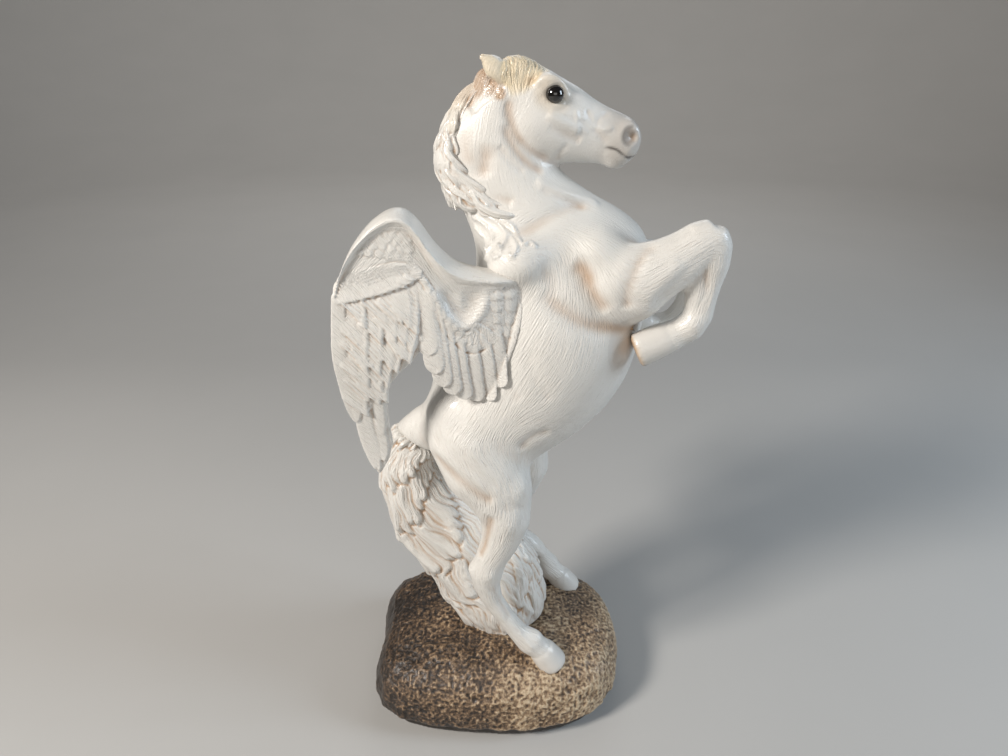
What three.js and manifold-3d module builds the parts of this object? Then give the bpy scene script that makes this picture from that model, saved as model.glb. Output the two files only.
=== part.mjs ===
// Rearing winged horse on a boulder: a figurine of cast pieces, pinned and glued together.
// Millimetres, +Z up. The horse faces +X, its right side faces -Y, and the origin is the middle of the
// underside. The horse's own heights are measured from the crown of the boulder.
import * as THREE from "three";
import { mergeVertices } from "three/addons/utils/BufferGeometryUtils.js";
import Module from "manifold-3d";

const wasm = await Module();
wasm.setup();

// Driving dimensions
const HORSE_HEIGHT = 261;
const GLUE_GAP = 0.3;
const ROCK_WIDTH = 124;
const ROCK_DEPTH = 92;
const ROCK_HEIGHT = 36.5;
const ROCK_RIM_HEIGHT = 4;
const ROCK_RIM_INSET = 3;
const FELT_THICKNESS = 1.5;
const FELT_MARGIN = 6;
const HOOF_SINK = 3.5;
const TAIL_SINK = 2.5;
const EYE_RADIUS = 3.3;
const EYE_PROUD = 1.1;
const EAR_LENGTH = 12;
const NOSTRIL_RADIUS = 1.5;
const FEATHER_THICKNESS = 1.7;
const WING_ROOT_OUT = 31.5;
const WING_FLARE = 4;
const WING_TIP_TUCK = 8;
const WING_ARM_RADIUS = 4;
const WING_ARM_FULLNESS = 7;
const LEFT_WING_SWEEP_DEGREES = 36;
const LEFT_WING_FLARE_DEGREES = 11;
const LEFT_WING_DROP = 6;
const NECK_PIN_RADIUS = 3;
const NECK_PIN_LENGTH = 26;
const WING_PIN_RADIUS = 1.6;
const WING_PIN_LENGTH = 18;
const FORELEG_PIN_RADIUS = 2;
const FORELEG_PIN_LENGTH = 16;
const HIND_PIN_RADIUS = 2.5;
const HIND_PIN_LENGTH = 22;
const HOOF_PIN_RADIUS = 1.25;
const HOOF_PIN_LENGTH = 15;
const TAIL_PIN_RADIUS = 1.8;
const TAIL_PIN_LENGTH = 14;

// Facets: how finely pieces are faceted, and the smallest step kept where they join
const FACET_TOLERANCE = 0.4;
const BODY_SIDES = 18;
const LIMB_SIDES = 12;
const LOCK_SIDES = 4;
const FEATHER_SIDES = 4;
const PIN_SIDES = 12;
const ROCK_SIDES = 36;

const RESIN = { color: 0xefece6, roughness: 0.42, metalness: 0 };
const STONE = { color: 0x4a3c2e, roughness: 0.6, metalness: 0 };
const GLASS_BLACK = { color: 0x060606, roughness: 0.05, metalness: 0 };
const STEEL = { color: 0x9a9a9a, roughness: 0.35, metalness: 1 };
const FELT = { color: 0x1d2a20, roughness: 1, metalness: 0 };

const vec = (x, y, z) => new THREE.Vector3(x, y, z);
const LATERAL = vec(0, 1, 0);

// The tables are drawn for a horse this tall over the boulder, and fitted to the height wanted. Names,
// marks, angles and counts stay as they are.
const DRAWN_HEIGHT = 261;
const FIT = HORSE_HEIGHT / DRAWN_HEIGHT;
const UNFITTED = new Set(["name", "joint", "tilt", "count"]);
function fitted(drawn) {
  if (typeof drawn === "number") return drawn * FIT;
  if (Array.isArray(drawn)) return drawn.map(fitted);
  const rows = Object.entries(drawn).map(([key, value]) => [key, UNFITTED.has(key) ? value : fitted(value)]);
  return Object.fromEntries(rows);
}

// Trunk, from the rump up to the base of the neck: spine point, belly point and half width.
const TRUNK = fitted([
  { spine: [-31, 104], belly: [-6, 89.5], half: 13 },
  { spine: [-34, 114], belly: [12, 93.5], half: 25 },
  { spine: [-29, 126], belly: [27, 105.5], half: 31 },
  { spine: [-23, 138], belly: [39.5, 115], half: 32.5 },
  { spine: [-17, 150], belly: [49.5, 126], half: 34 },
  { spine: [-12.5, 163], belly: [56, 138], half: 35.5 },
  { spine: [-9, 175], belly: [59.5, 150], half: 35.5 },
  { spine: [-7, 185], belly: [61, 161.5], half: 33 },
  { spine: [-7, 193], belly: [62.5, 176], half: 29.5 },
  { spine: [-9, 199], belly: [63, 189.5], half: 26 },
  { spine: [-10.5, 203.5], belly: [58.5, 200], half: 21.5 },
  { spine: [-12, 208], belly: [48.5, 207.5], half: 17 },
]);

// Neck, from its base up to the poll: crest point, throat point and half width.
const NECK = fitted([
  { spine: [-12, 208], belly: [48.5, 207.5], half: 17 },
  { spine: [-14.5, 215], belly: [38, 212.5], half: 15 },
  { spine: [-16.5, 223], belly: [29.5, 218], half: 13.4 },
  { spine: [-16, 231], belly: [23.5, 222.8], half: 12.2 },
  { spine: [-13.5, 239], belly: [18.5, 229.5], half: 11.4 },
  { spine: [-8.5, 247], belly: [15, 236], half: 10.5 },
  { spine: [-2, 254], belly: [13, 242], half: 9 },
]);

// Head, from the poll to the lips: forehead or nose point, jaw point and half width.
const HEAD = fitted([
  { spine: [0, 256], belly: [6, 242], half: 5 },
  { spine: [6, 260.5], belly: [7.5, 233], half: 8.5 },
  { spine: [14, 259], belly: [14, 226.5], half: 10.5 },
  { spine: [22, 255], belly: [21, 224], half: 11 },
  { spine: [29, 251], belly: [28, 224], half: 9.2 },
  { spine: [36, 246.5], belly: [34.5, 224.3], half: 7.4 },
  { spine: [42, 243.3], belly: [40, 224.3], half: 6.6 },
  { spine: [47, 241.3], belly: [44.5, 223], half: 6.9 },
  { spine: [51.5, 239], belly: [48.5, 223.8], half: 6.8 },
  { spine: [54.2, 234.5], belly: [52.3, 227], half: 4.8 },
]);

// Hind legs, from inside the haunch down to the fetlock: centre, half depth fore and aft, half width.
// A station marked as a joint is where the leg is cast apart from the body.
const RIGHT_HIND = fitted([
  { at: [-6, -11, 132], deep: 13, wide: 10 },
  { at: [-8, -18.5, 114], deep: 21, wide: 15 },
  { at: [-3, -22, 100], deep: 18.5, wide: 14 },
  { at: [3, -24.5, 88.5], deep: 14, wide: 11.5, joint: true },
  { at: [4.7, -26, 77.5], deep: 10.4, wide: 9.3 },
  { at: [2.2, -26.5, 66.5], deep: 8, wide: 7.4 },
  { at: [-1.7, -27, 57.5], deep: 6.6, wide: 6 },
  { at: [-4.2, -27, 49.5], deep: 7.2, wide: 5.8 },
  { at: [-3.9, -27, 42], deep: 5.5, wide: 4.8 },
  { at: [-1.2, -27, 33.5], deep: 4.2, wide: 3.9 },
  { at: [4.5, -27, 23], deep: 3.7, wide: 3.6 },
  { at: [10.5, -27.5, 14], deep: 4.1, wide: 3.9 },
]);
const LEFT_HIND = fitted([
  { at: [-6, 11, 132], deep: 13, wide: 10 },
  { at: [-4, 18.5, 113], deep: 21.5, wide: 15 },
  { at: [4, 21.5, 99], deep: 19.5, wide: 14 },
  { at: [12, 23, 85], deep: 14.5, wide: 11.5, joint: true },
  { at: [14.5, 23.5, 73], deep: 11.5, wide: 9.5 },
  { at: [11.5, 24, 61], deep: 8.4, wide: 7.6 },
  { at: [7.2, 24, 52], deep: 6.8, wide: 6.1 },
  { at: [5, 24, 43.5], deep: 7.2, wide: 5.8 },
  { at: [7, 24, 36.5], deep: 5.5, wide: 4.8 },
  { at: [12, 24, 29.5], deep: 4.3, wide: 4 },
  { at: [18.5, 24, 22], deep: 3.8, wide: 3.7 },
  { at: [24.5, 24.5, 15.5], deep: 4.1, wide: 3.9 },
]);

// Hind hoof, from the fetlock to the sole, measured forward of and above the point where the toe stands.
const HIND_HOOF = fitted([
  { ahead: -10.5, up: 13.5, deep: 5.5, wide: 5.1 },
  { ahead: -6.5, up: 10, deep: 4.9, wide: 4.7 },
  { ahead: -4, up: 7.5, deep: 5.9, wide: 5.8 },
  { ahead: 0, up: 1, deep: 6.9, wide: 6.8 },
  { ahead: 1.2, up: -1, deep: 7.1, wide: 7 },
]);
const RIGHT_TOE = fitted([26.5, -28]);
const LEFT_TOE = fitted([38, 24.5]);

// Forelegs: the forearm from inside the shoulder to the knee, then the shank folded back to the sole.
const RIGHT_FOREARM = fitted([
  { at: [42, -19, 179], deep: 18, wide: 12 },
  { at: [53, -22, 185], deep: 14.5, wide: 11.5 },
  { at: [63, -23.5, 190.5], deep: 10.8, wide: 9.6, joint: true },
  { at: [70.5, -24, 195.5], deep: 9, wide: 8 },
  { at: [76.2, -24, 200.6], deep: 7.8, wide: 6.9 },
  { at: [80.3, -24, 203.6], deep: 5.6, wide: 5.6 },
]);
const RIGHT_SHANK = fitted([
  { at: [77.5, -24, 204], deep: 5.6, wide: 5.4 },
  { at: [79.4, -24, 198.5], deep: 7, wide: 6.4 },
  { at: [80.2, -24, 192], deep: 6, wide: 5.6 },
  { at: [80, -24, 185.5], deep: 4.6, wide: 4.2 },
  { at: [79.2, -24, 178.5], deep: 4.2, wide: 3.9 },
  { at: [78, -24, 172.5], deep: 4.8, wide: 4.4 },
  { at: [74.8, -24, 167.6], deep: 5.5, wide: 5.2 },
  { at: [70.5, -24, 164.8], deep: 4.9, wide: 4.7 },
  { at: [67.5, -24, 163.2], deep: 5.8, wide: 5.8 },
  { at: [59.5, -24, 159.6], deep: 7, wide: 6.8 },
]);
const LEFT_FOREARM = fitted([
  { at: [42, 19, 175], deep: 18, wide: 12 },
  { at: [54, 21.5, 176.5], deep: 14.5, wide: 11.5 },
  { at: [66, 22.5, 178], deep: 10.8, wide: 9.6, joint: true },
  { at: [76, 23, 179], deep: 9, wide: 8 },
  { at: [84.5, 23, 180], deep: 7.8, wide: 6.9 },
  { at: [90.5, 23, 180.5], deep: 5.6, wide: 5.6 },
]);
const LEFT_SHANK = fitted([
  { at: [88.5, 23, 182.5], deep: 5.6, wide: 5.4 },
  { at: [90, 23, 176.5], deep: 7, wide: 6.4 },
  { at: [89.3, 23, 170], deep: 6, wide: 5.6 },
  { at: [87, 23, 163.8], deep: 4.6, wide: 4.2 },
  { at: [84, 23, 157.5], deep: 4.2, wide: 3.9 },
  { at: [81, 23, 152.5], deep: 4.8, wide: 4.4 },
  { at: [77.5, 23, 149.5], deep: 5.4, wide: 5.2 },
  { at: [73, 23, 149], deep: 4.8, wide: 4.7 },
  { at: [70, 23, 149.4], deep: 5.6, wide: 5.7 },
  { at: [63, 23, 150.6], deep: 6.6, wide: 6.6 },
]);

// Tail, from the dock down to where it fans out on the boulder.
const TAIL = fitted([
  { at: [-27, 0, 113], deep: 10, wide: 8 },
  { at: [-36, 0, 104], deep: 11, wide: 8, joint: true },
  { at: [-40.5, 0, 94], deep: 12, wide: 9 },
  { at: [-40.5, 0, 82], deep: 13.5, wide: 10.5 },
  { at: [-34.6, 0, 68.6], deep: 17, wide: 11.5 },
  { at: [-25.5, 0, 54.9], deep: 20.5, wide: 12 },
  { at: [-14.1, 0, 41.8], deep: 24.5, wide: 13 },
  { at: [-5.2, 0, 27.6], deep: 24.5, wide: 14 },
  { at: [1.7, 0, 12.1], deep: 21.5, wide: 15.5 },
]);
const TAIL_TIP = fitted([6.5, -1]);
const TAIL_TIP_DEEP = 19.5;
const TAIL_TIP_WIDE = 15;

// Muscle masses on the right side; the left side mirrors them. Centre, half sizes, tilt in the side view.
const MUSCLES = fitted([
  { name: "shoulder blade", at: [33, -19, 186], size: [22, 10, 13], tilt: 48 },
  { name: "upper arm", at: [49, -17.5, 181], size: [16, 11, 15], tilt: 20 },
  { name: "breast", at: [51, -10, 184], size: [11, 9, 11], tilt: 0 },
  { name: "croup", at: [-13, -14, 122], size: [17, 13, 19], tilt: -18 },
]);

// Wing outline in the side view, on the right wing: the leading edge from the shoulder up to the wrist,
// then down the hand to the tip.
const ARM_EDGE = fitted(
  [[12, 184], [3, 186.3], [-6, 187], [-13, 189.5], [-20, 196], [-27, 204], [-34, 208]]);
const HAND_EDGE = fitted([
  [-42, 205.5], [-49.5, 196], [-54.5, 183], [-57, 168], [-57.5, 156], [-55.5, 142.5], [-52.5, 130],
  [-49.5, 117],
]);
const LEADING_EDGE = [...ARM_EDGE, ...HAND_EDGE];
// Lower edge of the fleshy part of the wing, point for point under the first part of the leading edge.
const COVERT_EDGE = fitted([
  [7, 175], [1, 171], [-7, 167.5], [-14, 169], [-20, 176], [-26, 185], [-33, 187], [-41, 184.5],
  [-48, 180.5], [-53, 172],
]);
const COVERT_BED_THICKNESS = 4.4;

// Rows of feathers: root and tip of the first and last feather, how many, and their width and lift.
const FEATHER_ROWS = fitted([
  { name: "primaries", roots: [[-54, 180], [-48, 188], [-31, 195]],
    tips: [[-47.5, 107.5], [-41.5, 133], [-27, 163]], count: 9, width: 9, lift: 0 },
  { name: "secondaries", roots: [[-26, 193], [-13, 174], [0, 178]],
    tips: [[-26, 160], [-17, 145.5], [3, 151]], count: 8, width: 8.5, lift: 0.4 },
  { name: "tertials", roots: [[-1, 184], [2, 186], [8, 187]],
    tips: [[2, 156], [5, 160], [8, 172]], count: 3, width: 6.5, lift: 1.6 },
  { name: "primary coverts", roots: [[-54, 193], [-45, 201], [-30, 203]],
    tips: [[-55, 175.5], [-45, 180.5], [-29, 187]], count: 6, width: 7, lift: 1.2 },
  { name: "secondary coverts", roots: [[-26, 203], [-15, 191], [1, 187]],
    tips: [[-24, 183], [-13, 165], [-1, 168]], count: 6, width: 7, lift: 1.4 },
]);

// Mane locks: where each leaves the crest (share of the neck's length), and how it falls.
const MANE_LOCKS = 8;
const MANE_LOCK_LENGTH = 24;
const MANE_LOCK_RADIUS = 3.4;
const MANE_LOCK_SWEEP = 6;
const MANE_CREST_RADIUS = 4.5;
const TAIL_LOCKS = 6;
const TAIL_LOCK_RADIUS = 3.2;

// A closed mesh's positions as a solid that can be joined and cut.
function solid(geometry) {
  const bare = new THREE.BufferGeometry().setAttribute("position", geometry.getAttribute("position"));
  if (geometry.index) bare.setIndex(geometry.index);
  const merged = mergeVertices(bare, 1e-4);
  const triVerts = new Uint32Array(merged.index.array);
  const vertProperties = merged.attributes.position.array;
  return new wasm.Manifold(new wasm.Mesh({ numProp: 3, vertProperties, triVerts }));
}

// Only the outer shell of a solid: hollows closed in between overlapping locks are cast full.
// Slivers where shapes join are eased away.
const largest = (a, b) => (b.volume() > a.volume() ? b : a);
const outerShell = (body) => body.decompose().reduce(largest);
const eased = (body) => outerShell(body).simplify(FACET_TOLERANCE);

// A solid as a named mesh.
function piece(name, body, finish) {
  const made = outerShell(body).getMesh();
  const geometry = new THREE.BufferGeometry();
  geometry.setAttribute("position", new THREE.BufferAttribute(new Float32Array(made.vertProperties), 3));
  geometry.setIndex(new THREE.BufferAttribute(new Uint32Array(made.triVerts), 1));
  geometry.computeVertexNormals();
  const mesh = new THREE.Mesh(geometry, new THREE.MeshStandardMaterial(finish));
  mesh.name = name;
  return mesh;
}

const joined = (...bodies) => bodies.reduce((whole, body) => whole.add(body));

// Rings through a list of stations become one closed tube with flat ends.
function skin(rings) {
  const sides = rings[0].length;
  const positions = [];
  const middle = (ring) => ring.reduce((sum, p) => sum.add(p), vec(0, 0, 0)).divideScalar(sides);
  const face = (a, b, c) => positions.push(...a.toArray(), ...b.toArray(), ...c.toArray());
  for (let i = 0; i + 1 < rings.length; i++) {
    for (let k = 0; k < sides; k++) {
      const next = (k + 1) % sides;
      face(rings[i][k], rings[i][next], rings[i + 1][next]);
      face(rings[i][k], rings[i + 1][next], rings[i + 1][k]);
    }
  }
  const [first, last] = [rings[0], rings[rings.length - 1]];
  for (let k = 0; k < sides; k++) {
    const next = (k + 1) % sides;
    face(middle(first), first[next], first[k]);
    face(middle(last), last[k], last[next]);
  }
  const geometry = new THREE.BufferGeometry();
  geometry.setAttribute("position", new THREE.BufferAttribute(new Float32Array(positions), 3));
  const body = solid(geometry);
  return body.volume() > 0 ? body : skin(rings.map((ring) => [...ring].reverse()));
}

// One station as a centre with two half axes. Trunk stations lie across the spine, limb stations
// across the limb's own path.
function trunkStation({ spine, belly, half }, grow) {
  const top = vec(spine[0], 0, spine[1]);
  const low = vec(belly[0], 0, belly[1]);
  const across = low.clone().sub(top).multiplyScalar(0.5);
  const reach = across.length();
  return {
    centre: top.add(low).multiplyScalar(0.5),
    deep: across.multiplyScalar((reach + grow) / reach),
    wide: LATERAL.clone().multiplyScalar(half + grow),
  };
}

function limbStations(stations, grow) {
  const points = stations.map(({ at }) => vec(...at));
  return stations.map(({ deep, wide }, i) => {
    const before = points[Math.max(i - 1, 0)];
    const after = points[Math.min(i + 1, points.length - 1)];
    const along = after.clone().sub(before).normalize();
    const side = LATERAL.clone().addScaledVector(along, -LATERAL.dot(along)).normalize();
    const fore = side.clone().cross(along);
    return {
      centre: points[i],
      deep: fore.multiplyScalar(deep + grow),
      wide: side.multiplyScalar(wide + grow),
    };
  });
}

// A smooth tube through stations, with extra rings between them.
function loft(stations, sides, between) {
  const through = (key) => new THREE.CatmullRomCurve3(stations.map((s) => s[key]), false, "centripetal");
  const simple = (key, t) => {
    const place = t * (stations.length - 1);
    const i = Math.min(Math.floor(place), stations.length - 2);
    return stations[i][key].clone().lerp(stations[i + 1][key], place - i);
  };
  const centres = through("centre");
  const count = (stations.length - 1) * between;
  const rings = [];
  for (let i = 0; i <= count; i++) {
    const t = i / count;
    const centre = centres.getPoint(t);
    const deep = simple("deep", t);
    const wide = simple("wide", t);
    rings.push(Array.from({ length: sides }, (_, k) => {
      const turn = (2 * Math.PI * k) / sides;
      return centre.clone().addScaledVector(deep, Math.cos(turn)).addScaledVector(wide, Math.sin(turn));
    }));
  }
  return skin(rings);
}

const trunkLoft = (table, grow = 0) => loft(table.map((s) => trunkStation(s, grow)), BODY_SIDES, 1);
const limbLoft = (table, grow = 0) => loft(limbStations(table, grow), LIMB_SIDES, 1);

// A pin's solid along an axis, centred on a point, fatter by grow all round.
function pinSolid(centre, along, radius, length, grow = 0) {
  const geometry = new THREE.CylinderGeometry(radius + grow, radius + grow, length + 2 * grow, PIN_SIDES);
  const turn = new THREE.Quaternion().setFromUnitVectors(LATERAL, along.clone().normalize());
  return solid(geometry.applyQuaternion(turn).translate(...centre.toArray()));
}

// An ellipsoid, tilted in the side view.
function mass({ at, size, tilt = 0 }, grow = 0) {
  const geometry = new THREE.SphereGeometry(1, 10, 6);
  geometry.scale(...size.map((s) => s + grow)).rotateY(THREE.MathUtils.degToRad(-tilt)).translate(...at);
  return solid(geometry);
}

const mirrored = (item) => ({ ...item, at: [item.at[0], -item.at[1], item.at[2]] });

// A big block on the far side of a plane, to trim a solid there.
const BLOCK = 400;
function blockBeyond(point, along) {
  const geometry = new THREE.BoxGeometry(BLOCK, BLOCK, BLOCK).translate(0, BLOCK / 2, 0);
  const turn = new THREE.Quaternion().setFromUnitVectors(LATERAL, along.clone().normalize());
  return solid(geometry.applyQuaternion(turn).translate(...point.toArray()));
}

// Boulder: a rounded square in plan, domed on top, with a low plain rim tucked in at the foot.
const PLAN_POWER = 3.6;
const DOME_POWER = 3.9;
const planReach = (turn) => {
  const across = Math.abs(Math.cos(turn)) ** PLAN_POWER + Math.abs(Math.sin(turn)) ** PLAN_POWER;
  const lumps = 1 + 0.025 * Math.sin(3 * turn + 0.6) + 0.02 * Math.sin(5 * turn + 2.1);
  return lumps / across ** (1 / PLAN_POWER);
};
const rockTop = (x, y) => {
  const turn = Math.atan2(y / ROCK_DEPTH, x / ROCK_WIDTH);
  const reach = Math.hypot((2 * x) / ROCK_WIDTH, (2 * y) / ROCK_DEPTH) / planReach(turn);
  return -ROCK_HEIGHT + ROCK_HEIGHT * (1 - Math.min(reach, 1) ** DOME_POWER) ** (1 / DOME_POWER);
};

function boulder() {
  const ring = (share, height) => Array.from({ length: ROCK_SIDES }, (_, k) => {
    const turn = (2 * Math.PI * k) / ROCK_SIDES;
    const reach = share * planReach(turn);
    return vec((ROCK_WIDTH / 2) * reach * Math.cos(turn), (ROCK_DEPTH / 2) * reach * Math.sin(turn), height);
  });
  const inset = 1 - (2 * ROCK_RIM_INSET) / ROCK_DEPTH;
  const rings = [ring(inset, 0), ring(inset, ROCK_RIM_HEIGHT)];
  for (const rise of [0.2, 0.4, 0.6, 0.76, 0.87, 0.94, 0.985]) {
    rings.push(ring((1 - rise ** DOME_POWER) ** (1 / DOME_POWER), ROCK_HEIGHT * rise));
  }
  rings.push(ring(0.12, ROCK_HEIGHT));
  return skin(rings).translate(0, 0, -ROCK_HEIGHT);
}

// Hind legs stand on the boulder: the toe's height follows its surface.
function hindLeg(table, toe) {
  const ground = rockTop(...toe) - HOOF_SINK;
  const hoof = HIND_HOOF.map(({ ahead, up, deep, wide }) => (
    { at: [toe[0] + ahead, toe[1], ground + up], deep, wide }));
  return [...table, ...hoof];
}

// A limb divided at its joint face: the stump that stays on the body, and the piece beyond the glue line.
function divided(table, whole) {
  const i = table.findIndex(({ joint }) => joint);
  const point = vec(...table[i].at);
  const along = vec(...table[i + 1].at).sub(vec(...table[i - 1].at)).normalize();
  const start = point.clone().addScaledVector(along, GLUE_GAP);
  return {
    stump: whole.subtract(blockBeyond(point, along)),
    limb: whole.intersect(blockBeyond(start, along)),
    point,
    along,
  };
}

// Feathers follow the wing's own sheet: how far out it stands over a point of the side view.
const smooth = (from, to, value) => THREE.MathUtils.smoothstep((value - from) / (to - from), 0, 1);
const [flareStart, flareEnd, tuckStart, tuckEnd] = fitted([8, -35, 165, 107]);
const wingRoot = fitted(WING_ROOT_OUT);
const wingOut = (x, z) => {
  const flare = fitted(WING_FLARE) * smooth(flareStart, flareEnd, x);
  return wingRoot + flare - fitted(WING_TIP_TUCK) * smooth(tuckStart, tuckEnd, z);
};
const onWing = ([x, z], lift = 0) => vec(x, -wingOut(x, z) - lift, z);

function alongThree(points, t) {
  const [a, b, c] = points;
  const mix = (i) => (1 - t) ** 2 * a[i] + 2 * t * (1 - t) * (2 * b[i] - (a[i] + c[i]) / 2) + t ** 2 * c[i];
  return [mix(0), mix(1)];
}

const FEATHER_OUTLINE = [[0, 0.5], [0.5, 1], [0.85, 0.8], [1, 0.3]];
function feather(root, tip, width, lift) {
  const stations = FEATHER_OUTLINE.map(([share, wide]) => {
    const spot = [root[0] + (tip[0] - root[0]) * share, root[1] + (tip[1] - root[1]) * share];
    const centre = onWing(spot, lift * (1 - share));
    const along = vec(tip[0] - root[0], 0, tip[1] - root[1]).normalize();
    return {
      centre,
      deep: LATERAL.clone().multiplyScalar(FEATHER_THICKNESS / 2),
      wide: along.cross(LATERAL).multiplyScalar((wide * width) / 2),
    };
  });
  return loft(stations, FEATHER_SIDES, 1);
}

function rightWing() {
  const edge = LEADING_EDGE.map((spot, i) => {
    const past = Math.max(0, i + 1 - ARM_EDGE.length) / HAND_EDGE.length;
    const taper = 1 - 0.75 * past;
    const flat = WING_ARM_RADIUS * 0.8;
    const full = flat + (WING_ARM_FULLNESS - flat) * (1 - past) ** 2;
    const sunk = i === 0 ? wingRoot / 4 : full - flat;
    const place = onWing(spot);
    return { at: [place.x, place.y + sunk, place.z], deep: WING_ARM_RADIUS * taper, wide: full * taper };
  });
  const arm = loft(limbStations(edge, 0), LIMB_SIDES / 2, 1);
  const bed = loft(COVERT_EDGE.map((low, i) => {
    const [top, foot] = [onWing(LEADING_EDGE[i]), onWing(low)];
    return {
      centre: top.clone().add(foot).multiplyScalar(0.5),
      deep: foot.clone().sub(top).multiplyScalar(0.5),
      wide: LATERAL.clone().multiplyScalar(COVERT_BED_THICKNESS / 2),
    };
  }), LIMB_SIDES - 4, 1);
  const feathers = FEATHER_ROWS.flatMap(({ roots, tips, count, width, lift }) => (
    Array.from({ length: count }, (_, i) => {
      const t = i / (count - 1);
      return feather(alongThree(roots, t), alongThree(tips, t), width, lift);
    })));
  return eased(joined(arm, bed, ...feathers));
}

// Mane: a crest along the back of the neck with locks that fall down and back from it.
function mane() {
  const crest = new THREE.CatmullRomCurve3(NECK.map(({ spine }) => vec(spine[0], 0, spine[1])));
  const ridge = Array.from({ length: 7 }, (_, i) => {
    const p = crest.getPoint(i / 6);
    const radius = MANE_CREST_RADIUS * (1 - i / 12);
    return { at: [p.x - 1.5 + i / 6, p.y, p.z - i / 6], deep: radius, wide: radius };
  });
  const locks = Array.from({ length: MANE_LOCKS }, (_, i) => {
    const start = crest.getPoint(0.98 - (0.78 * i) / (MANE_LOCKS - 1));
    const side = i % 2 === 0 ? -1 : 1;
    const share = i / (MANE_LOCKS - 1);
    const radius = MANE_LOCK_RADIUS * (0.55 + 0.45 * share);
    const length = fitted(MANE_LOCK_LENGTH) * (1 - 0.45 * share);
    return limbLock(start, side, length, MANE_LOCK_SWEEP * (1 - share), radius);
  });
  return joined(loft(limbStations(ridge, 0), LIMB_SIDES / 2, 1), ...locks);
}

function limbLock(start, side, length, sweep, radius) {
  const stations = [0, 0.35, 0.7, 1].map((t) => ({
    at: [
      start.x - sweep * Math.sin(2.6 * t) + 3 * t,
      side * (2 + 8 * t + 1.5 * Math.sin(6 * t)),
      start.z - length * t,
    ],
    deep: radius * (1 - 0.7 * t),
    wide: radius * 0.8 * (1 - 0.7 * t),
  }));
  return loft(limbStations(stations, 0), LOCK_SIDES, 1);
}

// Tail: one thick fall of hair with raised locks winding down both faces.
function tailTable() {
  const foot = [...TAIL_TIP, rockTop(...TAIL_TIP) - TAIL_SINK];
  const tip = { at: foot, deep: fitted(TAIL_TIP_DEEP), wide: fitted(TAIL_TIP_WIDE) };
  return [...TAIL, tip];
}

function tailSolid(table) {
  const path = new THREE.CatmullRomCurve3(table.map(({ at }) => vec(...at)));
  const last = table.length - 1;
  const locks = Array.from({ length: TAIL_LOCKS }, (_, i) => {
    const side = i % 2 === 0 ? -1 : 1;
    const stations = [0.22, 0.36, 0.5, 0.64, 0.78, 0.92].map((t, k) => {
      const near = table[Math.round(t * last)];
      const p = path.getPoint(t);
      const swing = ((i + 0.5) / TAIL_LOCKS - 0.5) * 1.5 + 0.18 * Math.sin(2.2 * k + i);
      const along = path.getTangent(t);
      const across = vec(-along.z, 0, along.x);
      const out = Math.sqrt(Math.max(0, 1 - swing ** 2)) * near.wide;
      const spot = p.addScaledVector(across, swing * near.deep);
      const radius = TAIL_LOCK_RADIUS * (0.6 + 0.4 * Math.sin(Math.PI * t));
      return { at: [spot.x, spot.y + side * out, spot.z], deep: radius, wide: radius * 0.9 };
    });
    return loft(limbStations(stations, 0), LOCK_SIDES, 1);
  });
  return eased(joined(loft(limbStations(table, 0), LIMB_SIDES + 4, 1), ...locks));
}

// Head features, cut or raised on both sides. Each sits at a place along the head's stations, a share of
// the way down from the nose to the jaw, and a share of the way out to the side.
const EYE = { place: 3, down: 0.2, out: 0.855 };
const BROW = { place: 2.82, down: 0.128, out: 0.66, size: [6.5, 3.4, 3.4], tilt: -30 };
const JOWL = { place: 2.14, down: 0.663, out: 0.55, size: [10.5, 5.2, 11.5], tilt: -20 };
const MUZZLE = { place: 7.55, down: 0.35, out: 0.5, size: [5.2, 4, 5.6] };
const CHIN = { place: 7, down: 0.875, out: 0, size: [5, 4.6, 2.9] };
const FORELOCK = { place: 1.55, down: 0.095, out: 0.2, size: [7.5, 6, 4], tilt: -18 };
const NOSTRIL = {
  place: 8.25, down: 0.29, out: 1.11, size: [NOSTRIL_RADIUS * 1.2, 2.4, NOSTRIL_RADIUS * 1.5], tilt: 20,
};
const EAR_ROOT = { place: 0.93, down: 0.195, out: 0.66 };
const EAR_LEAN = { back: 0.78, out: 0.16, up: 0.45 };

function headSpot({ place, down, out }, side) {
  const i = Math.min(Math.floor(place), HEAD.length - 2);
  const between = (from, to, share) => from + (to - from) * share;
  const [here, next] = [HEAD[i], HEAD[i + 1]];
  const level = (k) => between(
    between(here.spine[k], next.spine[k], place - i),
    between(here.belly[k], next.belly[k], place - i),
    down);
  return [level(0), side * out * between(here.half, next.half, place - i), level(1)];
}

const feature = (item, side) => mass({ at: headSpot(item, side), size: fitted(item.size), tilt: item.tilt });

function eyeball(side, grow = 0) {
  const at = vec(...headSpot(EYE, side));
  const radius = fitted(EYE_RADIUS);
  at.y += side * (EYE_PROUD - radius * 0.55);
  return solid(new THREE.SphereGeometry(radius + grow, 12, 8).translate(...at.toArray()));
}

function ear(side) {
  const root = vec(...headSpot(EAR_ROOT, side));
  const lean = vec(-EAR_LEAN.back, side * EAR_LEAN.out, EAR_LEAN.up).normalize();
  const stations = [[-0.15, 0.8], [0.2, 1], [0.5, 0.95], [0.8, 0.55], [1, 0.12]].map(([share, wide]) => {
    const p = root.clone().addScaledVector(lean, fitted(EAR_LENGTH) * share);
    return { at: p.toArray(), deep: 2.9 * wide, wide: 1.9 * wide };
  });
  return loft(limbStations(stations, 0), LIMB_SIDES / 2, 1);
}

function head() {
  const sided = [-1, 1].flatMap((side) => [
    feature(JOWL, side), feature(BROW, side), feature(MUZZLE, side), ear(side),
  ]);
  return joined(trunkLoft(HEAD), ...sided, feature(CHIN, 1), feature(FORELOCK, -1));
}

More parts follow.
